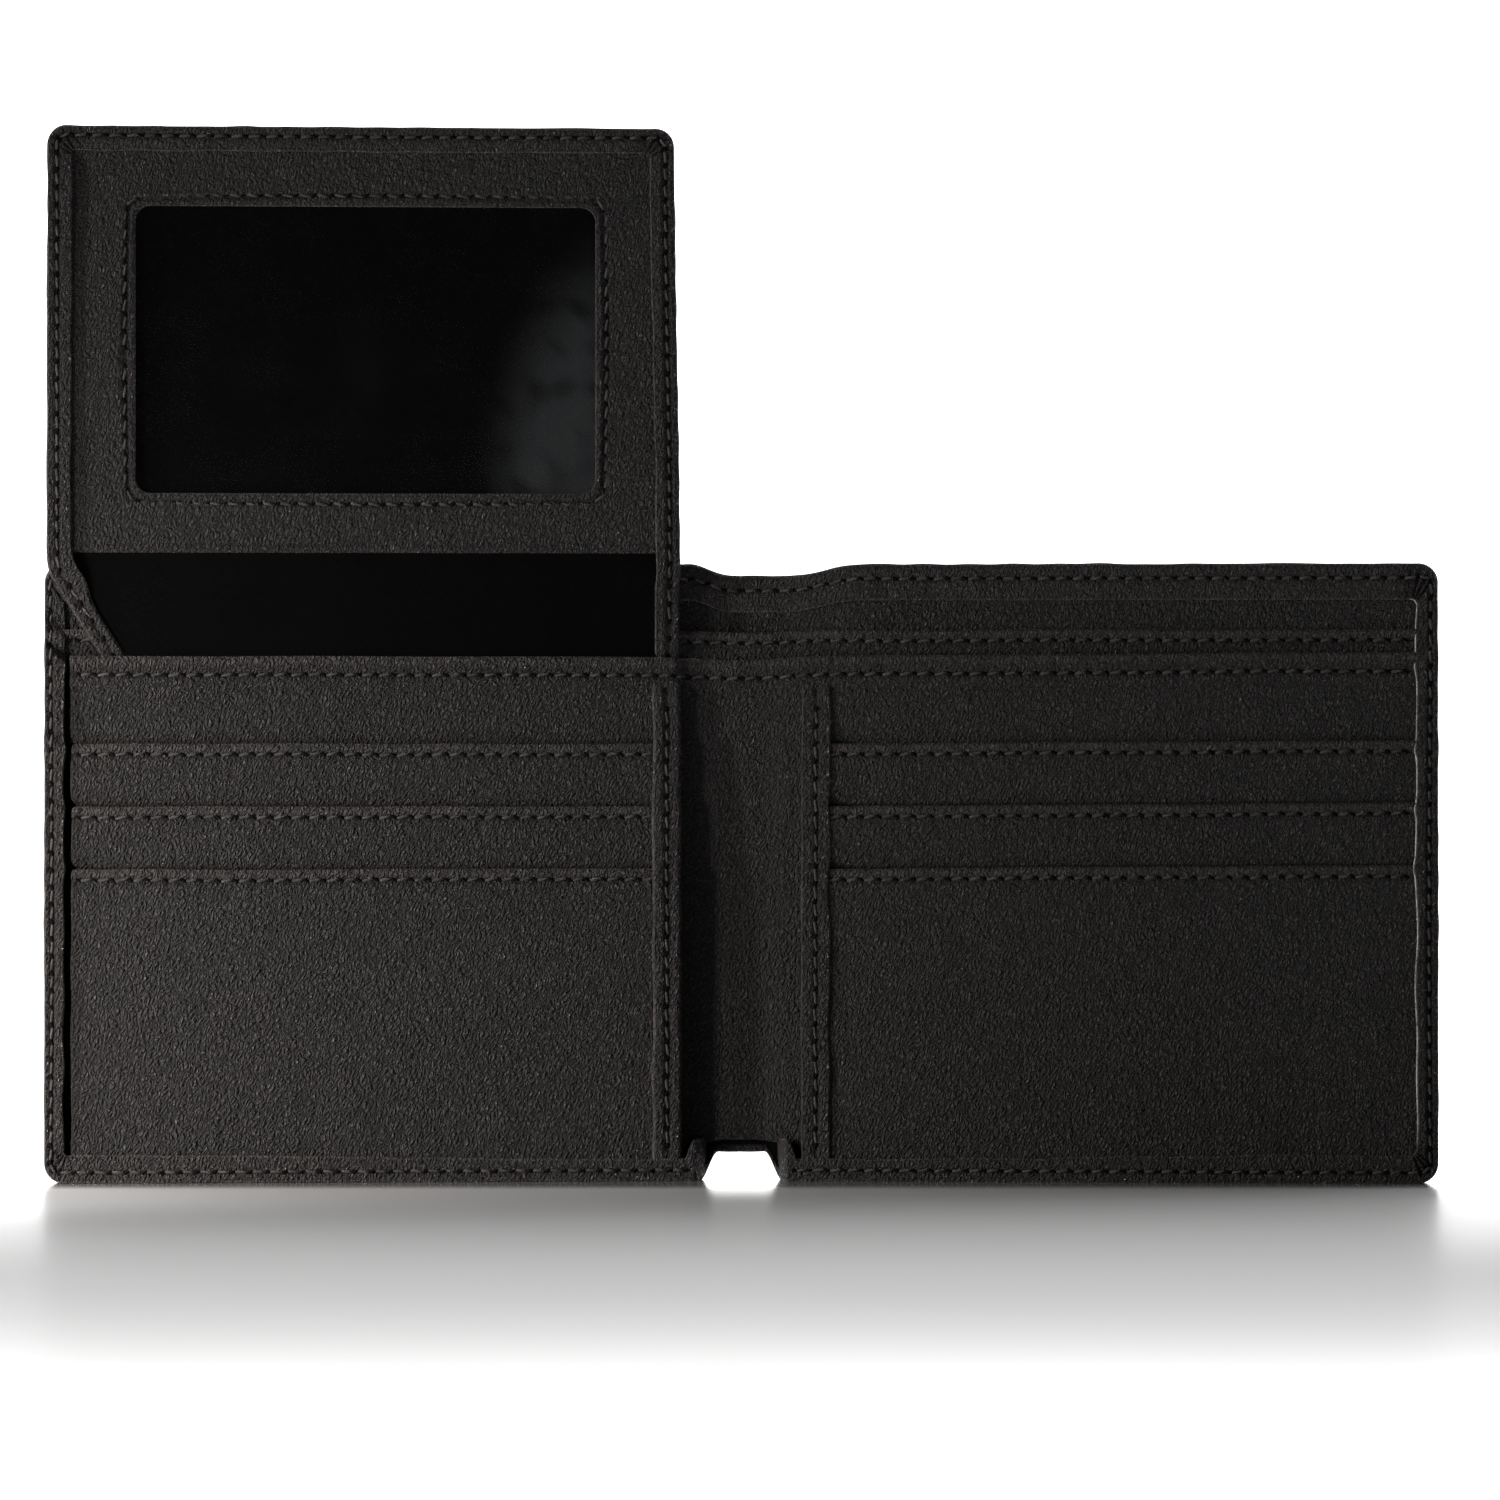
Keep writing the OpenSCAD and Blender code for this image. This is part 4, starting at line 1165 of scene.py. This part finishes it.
def web_strips(part, low, high):
    """One half of the leather strips along the web's two edges."""
    rise = stations(low, high, (WEB_LOW, WEB_HIGH), 0.9, 0.35, 2)
    tuck = fade(rise, 83.4, 85.4)
    front, back = front_at(rise) - 0.75 * tuck, back_at(rise) + 0.2 * tuck
    strips = (("inner", flap_edge_in(rise), flap_edge_in(rise) + 3.9, 1.6),
              ("outer", flap_edge_out(rise), flap_edge_out(rise) - flap_width(rise), 2.1))
    for kind, edge, inside, seam_in in strips:
        out, deep, up, wear_and_painted_light, seam = turned_edge(pair(edge, rise), pair(inside, rise), back, front, rise,
                                                seam=seam_in)
        strip = flap_grid("web_strip_" + kind + "_" + part, out, deep, up, LEATHER, wear_and_painted_light)
        web_fold(strip, part, "leather", "web_strip_" + kind)
        keep = rise > 84.6
        threads = stitches("web_stitches_" + kind + "_" + part, -seam[0][keep], seam[1][keep], seam[2][keep],
                           flat_spine=False, measure=rise[keep])
        web_fold(threads, part, "thread", "web_strip_" + kind)


def web():
    """The black web and its two leather strips, each in a lower and an upper half."""
    middle = (WEB_LOW + WEB_HIGH) / 2
    tab_low, cloth_high = 64, middle + 10.5
    web_cloth("lower", tab_low, middle)
    web_strips("lower", 78, middle)
    web_cloth("upper", middle, cloth_high)
    web_strips("upper", middle, SHOULDER - 1.9)


# ------------ the rest of the CAD nodes
def paint_cad_nodes():
    """Boards and hidden linings keep their CAD shape and get their materials."""
    for name, found in frame["nodes"].items():
        if found.hide_render:
            continue
        material = BOARD if "board" in name else TWILL if "lining" in name or "tab" in name else LEATHER
        found.data.materials.clear()
        found.data.materials.append(material)


# ------------ studio
def floor_material():
    """Pale glossy table top."""
    material, tree = shader("pale_table")
    where = in_mm(tree)
    tint = mix_colour(tree, noise(tree, where, 0.01), (0.9, 0.9, 0.9, 1), (0.94, 0.94, 0.94, 1))
    parts = add_node(tree, "SeparateXYZ", Vector=where).outputs
    polish = remap(tree, parts["Y"], -230, -25, 0.05, 0.45)
    polish = calculate(tree, "MAXIMUM", polish, remap(tree, parts["Y"], -36, -8, 0, 0.94))
    matt = add_node(tree, "BsdfDiffuse", Color=tint)
    rough = remap(tree, parts["Y"], -60, -10, 0.26, 0.14)
    gloss = add_node(tree, "BsdfGlossy", Color=(1, 1, 1, 1), Roughness=rough)
    return finish_mixed(material, tree, polish, matt, gloss)


def studio_floor():
    """A wide pale table, in metres."""
    half, near, far = 8, -1.45, 14
    corners = np.array([[-half, near, 0], [half, near, 0], [half, far, 0], [-half, far, 0]])
    table = add_mesh("table_top", corners, np.array([[0, 1, 2, 3]]), floor_material())


def studio_world():
    """A bright backdrop behind the wallet and a dim room in front of it."""
    world = bpy.data.worlds.new("studio")
    world.use_nodes = True
    tree = world.node_tree
    tree.nodes.clear()
    towards = add_node(tree, "TexCoord").outputs["Generated"]
    parts = add_node(tree, "SeparateXYZ", Vector=towards).outputs
    behind = remap(tree, parts["Y"], 0, 0.5)
    low = remap(tree, parts["Z"], 0.2, 0.55, 1, 0.5)
    lit = calculate(tree, "MULTIPLY", behind, low)
    colour = mix_colour(tree, lit, (0.02, 0.02, 0.021, 1), (1, 1, 1, 1))
    light = add_node(tree, "Background", Color=colour, Strength=2.4)
    end = tree.nodes.new("ShaderNodeOutputWorld")
    tree.links.new(light.outputs["Background"], end.inputs["Surface"])
    bpy.context.scene.world = world


def area_light(name, position, target, size, power, beam=180, colour=(1, 1, 1)):
    """A soft box at position, in metres, turned to its target; beam is its grid's spread in degrees."""
    data = bpy.data.lights.new(name, "AREA")
    data.shape = "RECTANGLE"
    data.size, data.size_y = size
    data.energy = power
    data.spread = math.radians(beam)
    data.color = colour
    made = bpy.data.objects.new(name, data)
    bpy.context.scene.collection.objects.link(made)
    position = np.array(position)
    made.location = position
    direction = np.array(target) - position
    made.rotation_euler = Vector(direction).to_track_quat("-Z", "Y").to_euler()


def studio_lights():
    """A grazing key and a rim from the left, a soft top light, and one for the table's front."""
    aim = (0, 0, 0.08)
    warm = (1, 0.95, 0.91)
    area_light("key_left", (-0.32, -0.19, 0.1), (-0.17, 0, 0.03), (0.05, 0.1), 0.3, 56, warm)
    area_light("rim_left", (-1.2, -0.35, 0.14), aim, (0.08, 0.3), 10, 180, warm)
    area_light("top_graze", (-0.3, -0.13, 0.95), aim, (0.25, 0.12), 0.6)
    area_light("table_glow", (0, -0.6, 0.35), (0, -0.58, 0), (1.4, 0.2), 3, 84)


def studio_camera():
    """The photo's view: level, square on to the wallet."""
    data = bpy.data.cameras.new("camera")
    data.lens = 180
    data.sensor_width = 36
    made = bpy.data.objects.new("camera", data)
    made.location = (1.4 * MM, -1.2, 69 * MM)
    made.rotation_euler = (math.pi / 2, 0, 0)
    bpy.context.scene.collection.objects.link(made)
    bpy.context.scene.camera = made


# ------------ build
for leaf_side in (-1, 1):
    cover_border(leaf_side)
    cover_back(leaf_side)
    rear_facing(leaf_side)
    divider(leaf_side)
    front_lining(leaf_side)
    front_wall(leaf_side)
    slot_layers(leaf_side)
    binding(leaf_side)
flap_border()
flap_back()
flap_frame()
flap_film()
flap_lining()
web()
paint_cad_nodes()
studio_floor()
studio_world()
studio_lights()
studio_camera()
bpy.context.scene.view_settings.view_transform = "Standard"
